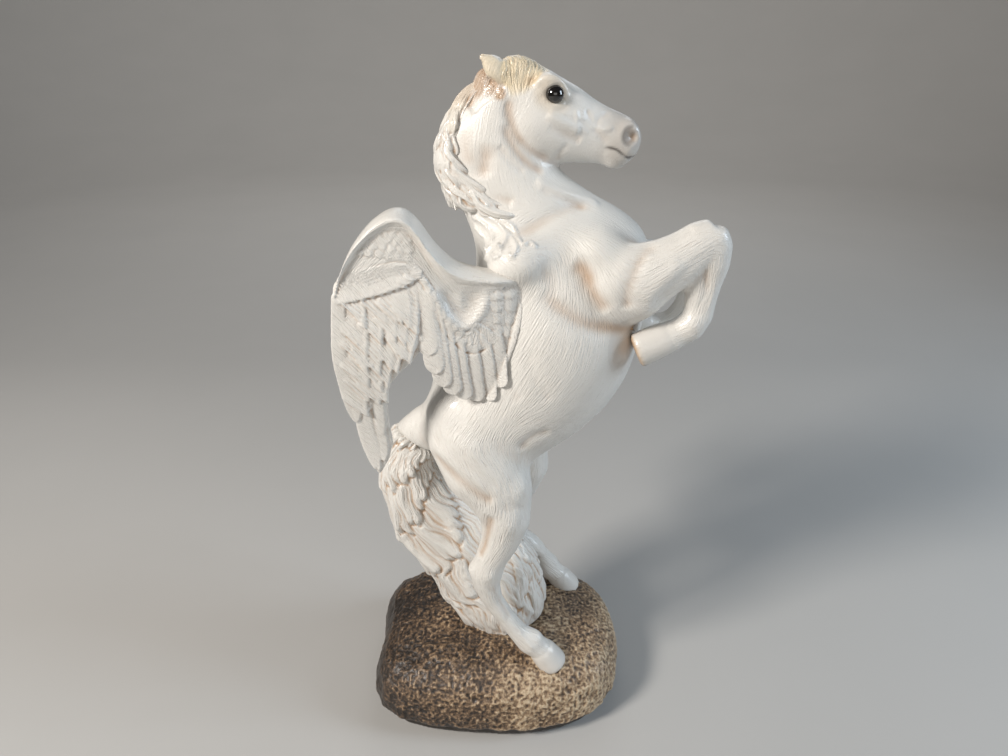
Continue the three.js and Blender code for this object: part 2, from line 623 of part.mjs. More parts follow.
const socketed = (body) => [-1, 1].reduce(
  (rest, side) => rest.subtract(feature(NOSTRIL, side)).subtract(eyeball(side, GLUE_GAP)), body);

// Limbs, each with its joint face
const rightHind = hindLeg(RIGHT_HIND, RIGHT_TOE);
const leftHind = hindLeg(LEFT_HIND, LEFT_TOE);
const hind = {
  right: divided(rightHind, limbLoft(rightHind)),
  left: divided(leftHind, limbLoft(leftHind)),
};
const foreleg = (forearm, shank) => {
  const parts = divided(forearm, limbLoft(forearm));
  return { ...parts, limb: joined(parts.limb, limbLoft(shank)) };
};
const fore = {
  right: foreleg(RIGHT_FOREARM, RIGHT_SHANK),
  left: foreleg(LEFT_FOREARM, LEFT_SHANK),
};
const tailStations = tailTable();
const tail = divided(tailStations, tailSolid(tailStations));

// Trunk with the stumps and muscles of both sides
const muscles = MUSCLES.flatMap((item) => [mass(item), mass(mirrored(item))]);
const trunkBody = eased(joined(
  trunkLoft(TRUNK), ...muscles,
  hind.right.stump, hind.left.stump, fore.right.stump, fore.left.stump, tail.stump));
const trunkGrown = joined(
  trunkLoft(TRUNK, GLUE_GAP),
  ...MUSCLES.flatMap((item) => [mass(item, GLUE_GAP), mass(mirrored(item), GLUE_GAP)]));

// Neck seam: a level face at the base of the neck
const neckFoot = trunkStation(NECK[0], 0).centre;
const UP = vec(0, 0, 1);
const neckStart = neckFoot.clone().addScaledVector(UP, GLUE_GAP);
const neckTrimmed = trunkLoft(NECK).intersect(blockBeyond(neckStart, UP));
const neckHead = socketed(eased(joined(neckTrimmed, head(), mane().subtract(trunkGrown))));
const trunkTrimmed = trunkBody.subtract(blockBeyond(neckFoot, UP));

// Wings: the left one mirrors the right, swept lower and flared out at the tip
const wingFlat = rightWing();
const [shoulderEnd, pinStation] = ARM_EDGE;
const rootSpot = vec(shoulderEnd[0], wingRoot, shoulderEnd[1]);
const sweptRoot = rootSpot.clone().setZ(rootSpot.z - LEFT_WING_DROP);
const dropped = wingFlat
  .mirror([0, 1, 0])
  .translate(...rootSpot.clone().negate().toArray())
  .rotate([0, -LEFT_WING_SWEEP_DEGREES, 0])
  .rotate([LEFT_WING_FLARE_DEGREES, 0, 0])
  .translate(...sweptRoot.toArray());
const wings = { right: wingFlat.subtract(trunkGrown), left: dropped.subtract(trunkGrown) };

// Pins across every joint face
const pinSpot = vec(pinStation[0], 0, pinStation[1]);
const wingPinOut = wingOut(pinSpot.x, pinSpot.z) - WING_PIN_LENGTH / 2;
const turnedSpot = pinSpot.clone().setY(wingRoot).sub(rootSpot)
  .applyAxisAngle(LATERAL, THREE.MathUtils.degToRad(-LEFT_WING_SWEEP_DEGREES))
  .applyAxisAngle(vec(1, 0, 0), THREE.MathUtils.degToRad(LEFT_WING_FLARE_DEGREES))
  .add(sweptRoot);
const wingPins = { right: pinSpot.clone().setY(-wingPinOut), left: turnedSpot.setY(wingPinOut) };
const toePin = (table) => {
  const foot = table.length - 1;
  const along = vec(...table[foot].at).sub(vec(...table[foot - 2].at)).normalize();
  return { point: vec(...table[foot].at), along };
};
const wingPin = { along: LATERAL, radius: WING_PIN_RADIUS, length: WING_PIN_LENGTH };
const PINS = [
  { name: "neck_pin", point: neckFoot, along: UP, radius: NECK_PIN_RADIUS, length: NECK_PIN_LENGTH },
  { name: "right_wing_pin", point: wingPins.right, ...wingPin },
  { name: "left_wing_pin", point: wingPins.left, ...wingPin },
  { name: "right_foreleg_pin", ...fore.right, radius: FORELEG_PIN_RADIUS, length: FORELEG_PIN_LENGTH },
  { name: "left_foreleg_pin", ...fore.left, radius: FORELEG_PIN_RADIUS, length: FORELEG_PIN_LENGTH },
  { name: "right_hind_pin", ...hind.right, radius: HIND_PIN_RADIUS, length: HIND_PIN_LENGTH },
  { name: "left_hind_pin", ...hind.left, radius: HIND_PIN_RADIUS, length: HIND_PIN_LENGTH },
  { name: "right_hoof_pin", ...toePin(rightHind), radius: HOOF_PIN_RADIUS, length: HOOF_PIN_LENGTH },
  { name: "left_hoof_pin", ...toePin(leftHind), radius: HOOF_PIN_RADIUS, length: HOOF_PIN_LENGTH },
  { name: "tail_pin", ...tail, radius: TAIL_PIN_RADIUS, length: TAIL_PIN_LENGTH },
];
const bored = PINS.map((p) => pinSolid(p.point, p.along, p.radius, p.length, GLUE_GAP));
const drilled = (body) => bored.reduce((rest, hole) => rest.subtract(hole), body);

// Boulder with pockets for the hooves and the foot of the tail, and a recess for the felt
const pockets = [
  limbLoft(rightHind.slice(-HIND_HOOF.length), GLUE_GAP),
  limbLoft(leftHind.slice(-HIND_HOOF.length), GLUE_GAP),
  loft(limbStations(tailStations.slice(-3), GLUE_GAP), LIMB_SIDES + 4, 1),
];
const rock = pockets.reduce((rest, pocket) => rest.subtract(pocket), boulder());
const feltOutline = new THREE.Shape(Array.from({ length: ROCK_SIDES }, (_, k) => {
  const turn = (2 * Math.PI * k) / ROCK_SIDES;
  const reach = planReach(turn);
  return new THREE.Vector2(
    (ROCK_WIDTH / 2 - ROCK_RIM_INSET - FELT_MARGIN) * reach * Math.cos(turn),
    (ROCK_DEPTH / 2 - ROCK_RIM_INSET - FELT_MARGIN) * reach * Math.sin(turn));
}));
const felt = new THREE.ExtrudeGeometry(feltOutline, { depth: FELT_THICKNESS, bevelEnabled: false });

const horse = new THREE.Group();
horse.position.z = ROCK_HEIGHT + FELT_THICKNESS;
horse.add(
  piece("rock_base", drilled(rock), STONE),
  piece("torso", drilled(trunkTrimmed), RESIN),
  piece("neck_and_head", drilled(neckHead), RESIN),
  piece("right_hind_leg", drilled(hind.right.limb.subtract(trunkGrown)), RESIN),
  piece("left_hind_leg", drilled(hind.left.limb.subtract(trunkGrown)), RESIN),
  piece("right_foreleg", drilled(fore.right.limb.subtract(trunkGrown)), RESIN),
  piece("left_foreleg", drilled(fore.left.limb.subtract(trunkGrown)), RESIN),
  piece("tail", drilled(tail.limb), RESIN),
  piece("right_wing", drilled(wings.right), RESIN),
  piece("left_wing", drilled(wings.left), RESIN),
  piece("right_eye", eyeball(-1), GLASS_BLACK),
  piece("left_eye", eyeball(1), GLASS_BLACK),
  ...PINS.map((p) => piece(p.name, pinSolid(p.point, p.along, p.radius, p.length), STEEL)));

const figurine = new THREE.Group();
figurine.add(horse, piece("felt_pad", solid(felt), FELT));
export default figurine;
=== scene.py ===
import math

import bmesh
import bpy
import numpy as np
from mathutils import Matrix, Vector
from mathutils.bvhtree import BVHTree
from mathutils.kdtree import KDTree


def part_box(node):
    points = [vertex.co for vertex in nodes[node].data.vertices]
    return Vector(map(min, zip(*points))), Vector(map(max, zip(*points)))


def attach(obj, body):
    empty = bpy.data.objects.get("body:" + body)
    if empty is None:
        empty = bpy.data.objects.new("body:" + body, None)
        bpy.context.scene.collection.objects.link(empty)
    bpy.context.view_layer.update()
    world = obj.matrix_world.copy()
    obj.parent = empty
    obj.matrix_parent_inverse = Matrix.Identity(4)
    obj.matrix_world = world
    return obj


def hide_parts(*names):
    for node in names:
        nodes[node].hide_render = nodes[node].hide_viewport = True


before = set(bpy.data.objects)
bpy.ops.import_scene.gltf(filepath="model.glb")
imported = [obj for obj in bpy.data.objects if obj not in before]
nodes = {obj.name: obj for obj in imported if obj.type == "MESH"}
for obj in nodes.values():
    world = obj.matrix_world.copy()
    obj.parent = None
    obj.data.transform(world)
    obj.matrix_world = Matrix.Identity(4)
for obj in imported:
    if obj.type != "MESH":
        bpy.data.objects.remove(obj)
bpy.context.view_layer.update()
scene = bpy.context.scene
MM = 0.001
rng = np.random.default_rng(11)


# Small tools

CURVE_STEPS = 199  # steps of a curve in which a share of its length is looked up
LATTICE_SIZE = 32
LATTICE = np.random.default_rng(3).random((LATTICE_SIZE,) * 3).astype(np.float32) * 2 - 1


def unit(v):
    v = np.asarray(v, float)
    return v / np.maximum(np.linalg.norm(v, axis=-1, keepdims=True), 1e-9)


def mirror(points):
    return np.asarray(points, float) * (1, -1, 1)


def smoothstep(low, high, value):
    """0 at low and 1 at high, with a soft change between them."""
    t = np.clip((np.asarray(value, float) - low) / (high - low), 0, 1)
    return t * t * (3 - 2 * t)


def faded_ends(share, ends):
    """1 in the middle of shares 0 to 1, fading out over the given share at either end."""
    return smoothstep(0, ends, share) * smoothstep(1, 1 - ends, share)


def spline(points, count):
    """Points on a smooth curve through the given ones, evenly numbered along it."""
    p = np.asarray(points, float)
    t = np.linspace(0, len(p) - 1, count)
    i = np.clip(t.astype(int), 0, len(p) - 2)
    f = (t - i)[:, None]
    a, b, c, d = p[np.maximum(i - 1, 0)], p[i], p[i + 1], p[np.minimum(i + 2, len(p) - 1)]
    return 0.5 * (2 * b + (c - a) * f + (2 * a - 5 * b + 4 * c - d) * f**2 + (3 * b - a - 3 * c + d) * f**3)


def at_share(points, share):
    """Points at shares 0 to 1 of a smooth curve through the given ones."""
    fine = spline(points, CURVE_STEPS + 1)
    place = np.clip(np.asarray(share, float), 0, 1) * CURVE_STEPS
    i = np.clip(place.astype(int), 0, CURVE_STEPS - 1)
    f = (place - i)[..., None]
    return fine[i] * (1 - f) + fine[i + 1] * f


def grain(points, size):
    """Smooth random values between -1 and 1, with lumps of the given size."""
    q = points / size
    base = np.floor(q).astype(int)
    f = q - base
    f = f * f * (3 - 2 * f)
    total = np.zeros(len(q))
    for corner in range(8):
        bits = np.array([(corner >> k) & 1 for k in range(3)])
        i, j, k = ((base + bits) % LATTICE_SIZE).T
        total += np.prod(np.where(bits, f, 1 - f), axis=1) * LATTICE[i, j, k]
    return total


def lookup(points):
    """A search tree that finds the number of the point nearest to a spot."""
    tree = KDTree(len(points))
    for number, spot in enumerate(points):
        tree.insert(spot, number)
    tree.balance()
    return tree


def new_mesh(name, bm):
    mesh = bpy.data.meshes.new(name)
    bm.to_mesh(mesh)
    bm.free()
    return mesh


def new_verts(made):
    """The vertices among what a bmesh operation has made."""
    return [v for v in made["geom"] if isinstance(v, bmesh.types.BMVert)]


def finished(name, mesh, material, slot, *replaced):
    """One piece of the visual model, on the figurine's only body."""
    obj = bpy.data.objects.new(name, mesh)
    scene.collection.objects.link(obj)
    mesh.materials.clear()
    mesh.materials.append(material)
    mesh.polygons.foreach_set("use_smooth", np.ones(len(mesh.polygons), bool))
    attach(obj, "root")
    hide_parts(*replaced)
    return obj


# Materials

IVORY = (0.76, 0.735, 0.69)
# TAN is the wash in the recesses, which also paints the shade that falls there.
TAN = (0.47, 0.29, 0.16)
CREAM = (0.76, 0.62, 0.40)
GREY = (0.36, 0.315, 0.275)
INK = (0.035, 0.026, 0.022)
# From the stone's hollows to the tops of its grains.
STONE_PAINT = [(0.38, (0.018, 0.012, 0.008)), (0.50, (0.065, 0.040, 0.024)), (0.61, (0.16, 0.100, 0.056)),
               (0.72, (0.34, 0.23, 0.135)), (0.88, (0.62, 0.48, 0.32))]
COMB_REACH = 4  # steps to either side along which the coat's grain is drawn out


def feed(tree, socket, value):
    """Sets a socket to a number or a colour, or links another node's output to it."""
    if isinstance(value, (int, float)):
        socket.default_value = value
    elif isinstance(value, tuple):
        socket.default_value = (*value, 1)
    else:
        tree.links.new(value, socket)


def node_group(name, inputs, outputs):
    group = bpy.data.node_groups.new(name, "ShaderNodeTree")
    for label, kind, default in inputs:
        socket = group.interface.new_socket(label, in_out="INPUT", socket_type=kind)
        if default is not None:
            socket.default_value = default
    for label, kind in outputs:
        group.interface.new_socket(label, in_out="OUTPUT", socket_type=kind)
    return group, group.nodes.new("NodeGroupInput"), group.nodes.new("NodeGroupOutput")


def math_node(tree, operation, *values, clamp=False):
    node = tree.nodes.new("ShaderNodeMath")
    node.operation = operation
    node.use_clamp = clamp
    for socket, value in zip(node.inputs, values):
        feed(tree, socket, value)
    return node.outputs[0]


def mix_colour(tree, share, a, b):
    """Two colours mixed. A Mix node's colours are its sockets 6 and 7, and its mixed colour is output 2."""
    node = tree.nodes.new("ShaderNodeMix")
    node.data_type = "RGBA"
    for socket, value in ((node.inputs[0], share), (node.inputs[6], a), (node.inputs[7], b)):
        feed(tree, socket, value)
    return node.outputs[2]


def noise_node(tree, scale, detail=3.0, rough=0.55, vector=None):
    node = tree.nodes.new("ShaderNodeTexNoise")
    if vector is None:
        vector = tree.nodes.new("ShaderNodeTexCoord").outputs["Object"]
    for label, value in (("Scale", scale), ("Detail", detail), ("Roughness", rough), ("Vector", vector)):
        feed(tree, node.inputs[label], value)
    return node.outputs["Fac"]


def attribute(tree, name, kind="Fac"):
    node = tree.nodes.new("ShaderNodeAttribute")
    node.attribute_name = name
    return node.outputs[kind]


def vector_node(tree, operation, a, b, label):
    node = tree.nodes.new("ShaderNodeVectorMath")
    node.operation = operation
    tree.links.new(a, node.inputs[0])
    tree.links.new(b, node.inputs[label])
    return node.outputs[0]


def bump_node(tree, height, strength, distance):
    node = tree.nodes.new("ShaderNodeBump")
    for label, value in (("Height", height), ("Strength", strength), ("Distance", distance)):
        feed(tree, node.inputs[label], value)
    return node.outputs["Normal"]


def wash_and_shade_group():
    """Paint wiped off the raised parts: the wash stays in the recesses and also paints their shade, with soft
    uneven patches.
    """
    group, given, result = node_group(
        "wiped_wash_and_painted_shade",
        [("Paint", "NodeSocketColor", (0.8, 0.8, 0.8, 1)), ("Wash", "NodeSocketColor", (0.4, 0.3, 0.2, 1)),
         ("Recess", "NodeSocketFloat", 0.0), ("Amount", "NodeSocketFloat", 1.0)],
        [("Color", "NodeSocketColor"), ("Mask", "NodeSocketFloat")])
    uneven = math_node(group, "MULTIPLY_ADD", noise_node(group, 60, 4), 0.9, 0.5)
    held = math_node(group, "MULTIPLY", given.outputs["Recess"], uneven)
    mask = math_node(group, "MULTIPLY", held, given.outputs["Amount"], clamp=True)
    colour = mix_colour(group, mask, given.outputs["Paint"], given.outputs["Wash"])
    group.links.new(colour, result.inputs["Color"])
    group.links.new(mask, result.inputs["Mask"])
    return group


def relief_group():
    """Fine surface relief of a cast and brushed surface, as a normal."""
    group, given, result = node_group(
        "fine_relief",
        [("Scale", "NodeSocketFloat", 900.0), ("Strength", "NodeSocketFloat", 0.2),
         ("Distance", "NodeSocketFloat", 0.0002), ("Strokes", "NodeSocketFloat", 0.0)],
        [("Normal", "NodeSocketVector"), ("Height", "NodeSocketFloat")])
    fine = noise_node(group, given.outputs["Scale"], rough=0.5)
    height = math_node(group, "ADD", fine, given.outputs["Strokes"])
    normal = bump_node(group, height, given.outputs["Strength"], given.outputs["Distance"])
    group.links.new(normal, result.inputs["Normal"])
    group.links.new(height, result.inputs["Height"])
    return group


def combed_group():
    """Engraved strokes: fine grain drawn out along the way the coat lies."""
    group, given, result = node_group(
        "combed_strokes",
        [("Flow", "NodeSocketVector", None), ("Scale", "NodeSocketFloat", 1000.0),
         ("Step", "NodeSocketFloat", 0.0007)],
        [("Height", "NodeSocketFloat")])
    place = group.nodes.new("ShaderNodeTexCoord").outputs["Object"]
    total = 0.0
    for k in range(-COMB_REACH, COMB_REACH + 1):
        step = math_node(group, "MULTIPLY", given.outputs["Step"], float(k))
        shift = vector_node(group, "SCALE", given.outputs["Flow"], step, "Scale")
        moved = vector_node(group, "ADD", place, shift, 1)
        total = math_node(group, "ADD", total, noise_node(group, given.outputs["Scale"], 0.0, 0.5, moved))
    middle = (2 * COMB_REACH + 1) / 2
    spread = math_node(group, "MULTIPLY", math_node(group, "SUBTRACT", total, middle), 0.75)
    group.links.new(spread, result.inputs["Height"])
    return group


COMBED = combed_group()
WASH_AND_SHADE = wash_and_shade_group()
RELIEF = relief_group()


def use_group(tree, group, **values):
    node = tree.nodes.new("ShaderNodeGroup")
    node.node_tree = group
    for label, value in values.items():
        feed(tree, node.inputs[label], value)
    return node.outputs


def material(name, **settings):
    """A new material, with the surface settings of its shader by name."""
    made = bpy.data.materials.new(name)
    made.use_nodes = True
    surface = made.node_tree.nodes["Principled BSDF"].inputs
    for label, value in settings.items():
        surface[label.replace("_", " ")].default_value = value
    return made, made.node_tree, surface


def mottled(name, scale, dark, light, **settings):
    """A new material whose colour wanders between two tones."""
    made, tree, surface = material(name, **settings)
    feed(tree, surface["Base Color"], mix_colour(tree, noise_node(tree, scale), dark, light))
    return made, tree, surface


def resin_material():
    made, tree, surface = material("ivory_resin", Coat_Weight=0.4, Coat_Roughness=0.14)
    combed = use_group(tree, COMBED, Flow=attribute(tree, "flow", "Vector"), Scale=1900.0, Step=0.00055)
    strokes = math_node(tree, "MULTIPLY", combed["Height"], attribute(tree, "coat"))
    cream = mix_colour(tree, attribute(tree, "cream"), IVORY, CREAM)
    grey = mix_colour(tree, attribute(tree, "grey"), cream, GREY)
    inked = mix_colour(tree, attribute(tree, "dark"), grey, INK)
    # The wash and painted shade in the recesses, a little deeper in the engraved strokes.
    low = math_node(tree, "MULTIPLY", strokes, -0.10)
    recess = math_node(tree, "ADD", attribute(tree, "recess"), low, clamp=True)
    wash_and_shade = use_group(tree, WASH_AND_SHADE, Paint=inked, Wash=TAN, Recess=recess, Amount=1.0)
    feed(tree, surface["Base Color"], wash_and_shade["Color"])
    feed(tree, surface["Roughness"], math_node(tree, "MULTIPLY_ADD", noise_node(tree, 220), 0.14, 0.31))
    relief = use_group(tree, RELIEF, Scale=1600.0, Strength=0.8, Distance=0.00016, Strokes=strokes)
    feed(tree, surface["Normal"], relief["Normal"])
    return made


def stone_material():
    """Dark paint in the hollows, brown over it, and pale dry-brushing on the grains' tops, with painted shade
    on the boulder's left side and foot and painted light on its right.
    """
    made, tree, surface = material("painted_stone", Coat_Weight=0.25, Coat_Roughness=0.3)
    grains = math_node(tree, "MULTIPLY", noise_node(tree, 820, 4), 0.75)
    pits = math_node(tree, "MULTIPLY", noise_node(tree, 330, 3, 0.5), 0.25)
    broad = noise_node(tree, 30, 4, 0.6)
    height = math_node(tree, "ADD", grains, pits)
    # The high attribute brings the dry-brushing, and the painted shade on the left side and foot and painted
    # light on the right.
    raised = math_node(tree, "ADD", height, math_node(tree, "MULTIPLY", attribute(tree, "high"), 0.42))
    patch = math_node(tree, "MULTIPLY", math_node(tree, "SUBTRACT", broad, 0.52), 0.62)
    ramp = tree.nodes.new("ShaderNodeValToRGB")
    elements = ramp.color_ramp.elements
    while len(elements) < len(STONE_PAINT):
        elements.new(0.5)
    for element, (place, colour) in zip(elements, STONE_PAINT):
        element.position = place
        element.color = (*colour, 1)
    feed(tree, ramp.inputs["Fac"], math_node(tree, "ADD", raised, patch))
    feed(tree, surface["Base Color"], ramp.outputs["Color"])
    feed(tree, surface["Roughness"], math_node(tree, "MULTIPLY_ADD", broad, 0.3, 0.28))
    coarse = math_node(tree, "MULTIPLY", height, attribute(tree, "coarse"))
    feed(tree, surface["Normal"], bump_node(tree, coarse, 0.8, 0.0016))
    return made


def eye_material():
    shine = {"Roughness": 0.04, "Coat_Weight": 1.0, "Coat_Roughness": 0.02}
    return mottled("black_glass", 500, (0.003, 0.003, 0.003), (0.012, 0.009, 0.007), **shine)[0]


def steel_material():
    made, tree, surface = mottled("drawn_steel", 700, (0.50, 0.50, 0.51), (0.60, 0.60, 0.61), Metallic=1.0)
    feed(tree, surface["Roughness"], math_node(tree, "MULTIPLY_ADD", noise_node(tree, 1500), 0.2, 0.25))
    return made


def felt_material():
    nap = {"Roughness": 0.95, "Sheen_Weight": 0.3}
    made, tree, surface = mottled("dark_felt", 1800, (0.02, 0.035, 0.024), (0.045, 0.07, 0.05), **nap)
    relief = use_group(tree, RELIEF, Scale=2500.0, Strength=0.8, Distance=0.0004)
    feed(tree, surface["Normal"], relief["Normal"])
    return made


def floor_material():
    return mottled("pale_floor", 6, (0.46, 0.45, 0.43), (0.50, 0.485, 0.465), Roughness=0.7)[0]


RESIN = resin_material()
STONE = stone_material()
EYE = eye_material()
STEEL = steel_material()
FELT = felt_material()


# A fine skin to press strokes into

MOST_TRIANGLES = 195_000  # in one piece
LEAST_SHELL = 0.01  # share of the largest shell's volume that a shell needs to be kept
MERGED = 2e-6  # distance in metres under which a CAD copy's loose corners are one vertex
PATH_POINTS = 40
FAR = 1e9
# The most wash and painted shade that a vertex takes.
MOST_WASH_AND_SHADE = 0.9


def grown_copies(names, grow):
    """Merged copies of the named nodes in one mesh, each grown a little so that their gaps close."""
    bm = bmesh.new()
    for name in names:
        part = bmesh.new()
        part.from_mesh(nodes[name].data)
        bmesh.ops.remove_doubles(part, verts=part.verts, dist=MERGED)
        part.normal_update()
        for v in part.verts:
            v.co += v.normal * grow * MM
        mesh = new_mesh("copy", part)
        bm.from_mesh(mesh)
        bpy.data.meshes.remove(mesh)
    return bm


def modified(mesh, kind, **settings):
    """A mesh as a modifier leaves it. The given mesh is removed."""
    obj = bpy.data.objects.new("raw", mesh)
    scene.collection.objects.link(obj)
    modifier = obj.modifiers.new("change", kind)
    for label, value in settings.items():
        setattr(modifier, label, value)
    bpy.context.view_layer.update()
    made = bpy.data.meshes.new_from_object(obj.evaluated_get(bpy.context.evaluated_depsgraph_get()))
    bpy.data.objects.remove(obj)
    bpy.data.meshes.remove(mesh)
    return made


def even_skin(bm, voxel):
    """One fine closed mesh over everything in a bmesh."""
    return outer_shells(modified(new_mesh("skin", bm), "REMESH", mode="VOXEL", voxel_size=voxel * MM))


def thinned(mesh):
    """The mesh with its flattest faces merged, if it has more triangles than a piece may have."""
    count = sum(len(face.vertices) - 2 for face in mesh.polygons)
    if count <= MOST_TRIANGLES:
        return mesh
    return modified(mesh, "DECIMATE", ratio=MOST_TRIANGLES / count)


def edge_pairs(mesh):
    pairs = np.empty(len(mesh.edges) * 2, np.int32)
    mesh.edges.foreach_get("vertices", pairs)
    return pairs.reshape(-1, 2)


def triangles(mesh):
    mesh.calc_loop_triangles()
    corners = np.empty(len(mesh.loop_triangles) * 3, np.int32)
    mesh.loop_triangles.foreach_get("vertices", corners)
    return corners.reshape(-1, 3)


def vectors(items, label):
    """A vector property of all items of a mesh's list."""
    values = np.empty(len(items) * 3)
    items.foreach_get(label, values)
    return values.reshape(-1, 3)


def shell_numbers(mesh):
    """For each vertex the lowest vertex number in its shell."""
    pairs = edge_pairs(mesh)
    label = np.arange(len(mesh.vertices))
    while True:
        low = label.copy()
        np.minimum.at(low, pairs[:, 0], label[pairs[:, 1]])
        np.minimum.at(low, pairs[:, 1], label[pairs[:, 0]])
        low = low[low]
        if np.array_equal(low, label):
            return label
        label = low


def outer_shells(mesh):
    """The mesh without inner walls and crumbs."""
    label = shell_numbers(mesh)
    tris = triangles(mesh)
    a, b, c = vectors(mesh.vertices, "co")[tris].transpose(1, 0, 2)
    volume = np.bincount(label[tris[:, 0]], (a * np.cross(b, c)).sum(1) / 6, len(label))
    kept = np.flatnonzero(volume > LEAST_SHELL * volume.max())
    bm = bmesh.new()
    bm.from_mesh(mesh)
    bm.verts.ensure_lookup_table()
    spare = [bm.verts[i] for i in np.flatnonzero(~np.isin(label, kept))]
    bmesh.ops.delete(bm, geom=spare, context="VERTS")
    bm.to_mesh(mesh)
    bm.free()
    return mesh


class Clay:
    """A fine closed mesh that is smoothed and pressed with strokes. Lengths in millimetres."""

    def __init__(self, mesh):
        self.mesh = mesh
        self.co = vectors(mesh.vertices, "co") / MM
        self.tris = triangles(mesh)
        self.a, self.b = edge_pairs(mesh).T
        self.valence = self.total(np.ones(len(self.co)))
        self.values = {}
        self.flow = None

    def total(self, values):
        """The sum of a value over each vertex's neighbours."""
        count = len(self.co)
        return np.bincount(self.a, values[self.b], count) + np.bincount(self.b, values[self.a], count)

    def around(self, values):
        """The mean of a value over each vertex's neighbours."""
        if values.ndim == 1:
            return self.total(values) / self.valence
        return np.stack([self.around(column) for column in values.T], axis=1)

    def settle(self, values, rounds):
        for _ in range(rounds):
            values = self.around(values)
        return values

    def normals(self):
        a, b, c = (self.co[self.tris[:, k]] for k in range(3))
        face = np.cross(b - a, c - a)
        total = np.zeros_like(self.co)
        for k in range(3):
            for axis in range(3):
                total[:, axis] += np.bincount(self.tris[:, k], face[:, axis], len(self.co))
        return unit(total)

    def smooth(self, weight, rounds):
        for _ in range(rounds):
            self.co += np.asarray(0.5 * weight)[..., None] * (self.around(self.co) - self.co)

    def push(self, amount, normal):
        self.co += np.asarray(amount)[..., None] * normal

    def gaps(self, spot, stretch=1.0):
        """Each vertex's distance from a spot, with the axes stretched."""
        return np.linalg.norm((self.co - np.asarray(spot, float)) * stretch, axis=1)

    def near_path(self, path, reach):
        """Vertices near a path: their indices, distances to it, and shares along it."""
        fine = spline(path, PATH_POINTS)
        close = np.all((self.co > fine.min(0) - reach) & (self.co < fine.max(0) + reach), axis=1)
        index = np.flatnonzero(close)
        best = np.full(len(index), FAR)
        share = np.zeros(len(index))
        for k in range(PATH_POINTS - 1):
            start, run = fine[k], fine[k + 1] - fine[k]
            offset = self.co[index] - start
            t = np.clip(offset @ run / max(run @ run, 1e-9), 0, 1)
            gap = np.linalg.norm(offset - t[:, None] * run, axis=1)
            closer = gap < best
            best[closer] = gap[closer]
            share[closer] = ((k + t) / (PATH_POINTS - 1))[closer]
        return index, best, share

    def stripe(self, path, near, far):
        """1 on vertices near a path, 0 on those far from it."""
        index, gap, _ = self.near_path(path, far)
        value = np.zeros(len(self.co))
        value[index] = smoothstep(far, near, gap)
        return value

    def nearest(self, path):
        """The skin's own points nearest to a path's."""
        return np.array([self.co[np.argmin(((self.co - spot) ** 2).sum(1))] for spot in path])

    def groove(self, path, width, depth, normal):
        """A groove along a path; a negative depth raises a ridge. Its ends fade out."""
        index, gap, share = self.near_path(path, 4 * width)
        length = np.linalg.norm(np.diff(np.asarray(path, float), axis=0), axis=1).sum()
        fade = faded_ends(share, np.clip(1.4 * width / length, 0.16, 0.5))
        self.co[index] -= (depth * fade * np.exp(-((gap / width) ** 2)))[:, None] * normal[index]

    def swell(self, centre, size, height, normal):
        """A soft round bump; a negative height is a hollow."""
        gap = self.gaps(centre) / size
        index = np.flatnonzero(gap < 3)
        self.co[index] += (height * np.exp(-(gap[index] ** 2)))[:, None] * normal[index]

    def band(self, centre, axis, reach, width, depth, normal):
        """A groove all round a limb, across its axis."""
        along = (self.co - np.asarray(centre)) @ unit(axis)
        index = np.flatnonzero(self.gaps(centre) < reach)
        self.co[index] -= (depth * np.exp(-((along[index] / width) ** 2)))[:, None] * normal[index]

    def recess(self, fine_rounds, broad_rounds):
        """How far each vertex lies below its surroundings, at a fine and a broad scale."""
        normal = self.normals()
        fine = self.settle(self.co, fine_rounds)
        broad = self.settle(fine, broad_rounds)
        return ((fine - self.co) * normal).sum(1), ((broad - self.co) * normal).sum(1)

    def write(self):
        self.mesh.vertices.foreach_set("co", (self.co * MM).ravel())
        for name, values in self.values.items():
            layer = self.mesh.attributes.new(name, "FLOAT", "POINT")
            layer.data.foreach_set("value", values.astype(np.float32))
        if self.flow is not None:
            layer = self.mesh.attributes.new("flow", "FLOAT_VECTOR", "POINT")
            layer.data.foreach_set("vector", self.flow.astype(np.float32).ravel())
        self.mesh.update()


# The horse's skin: its tables, in millimetres

BODY_VOXEL = 0.62
CLOSED_GAP = 0.4  # how far the castings grow so that the glue lines between them close
JOINT_WALL = 1.2  # how far a casting's skin turns in at its joint face
JOINT_REACH = 2  # how far outside a casting's box its skin may lie
THICK = 30  # thickness from which on a part of the horse is smoothed fully
SKIN_ROUNDS = 220
CREST_ROUNDS = 120
KNEAD_ROUNDS = 60
LOST = 0.12  # thickness that smoothing takes off a thick part
BODY = ("torso", "neck_and_head", "right_hind_leg", "left_hind_leg", "right_foreleg", "left_foreleg")

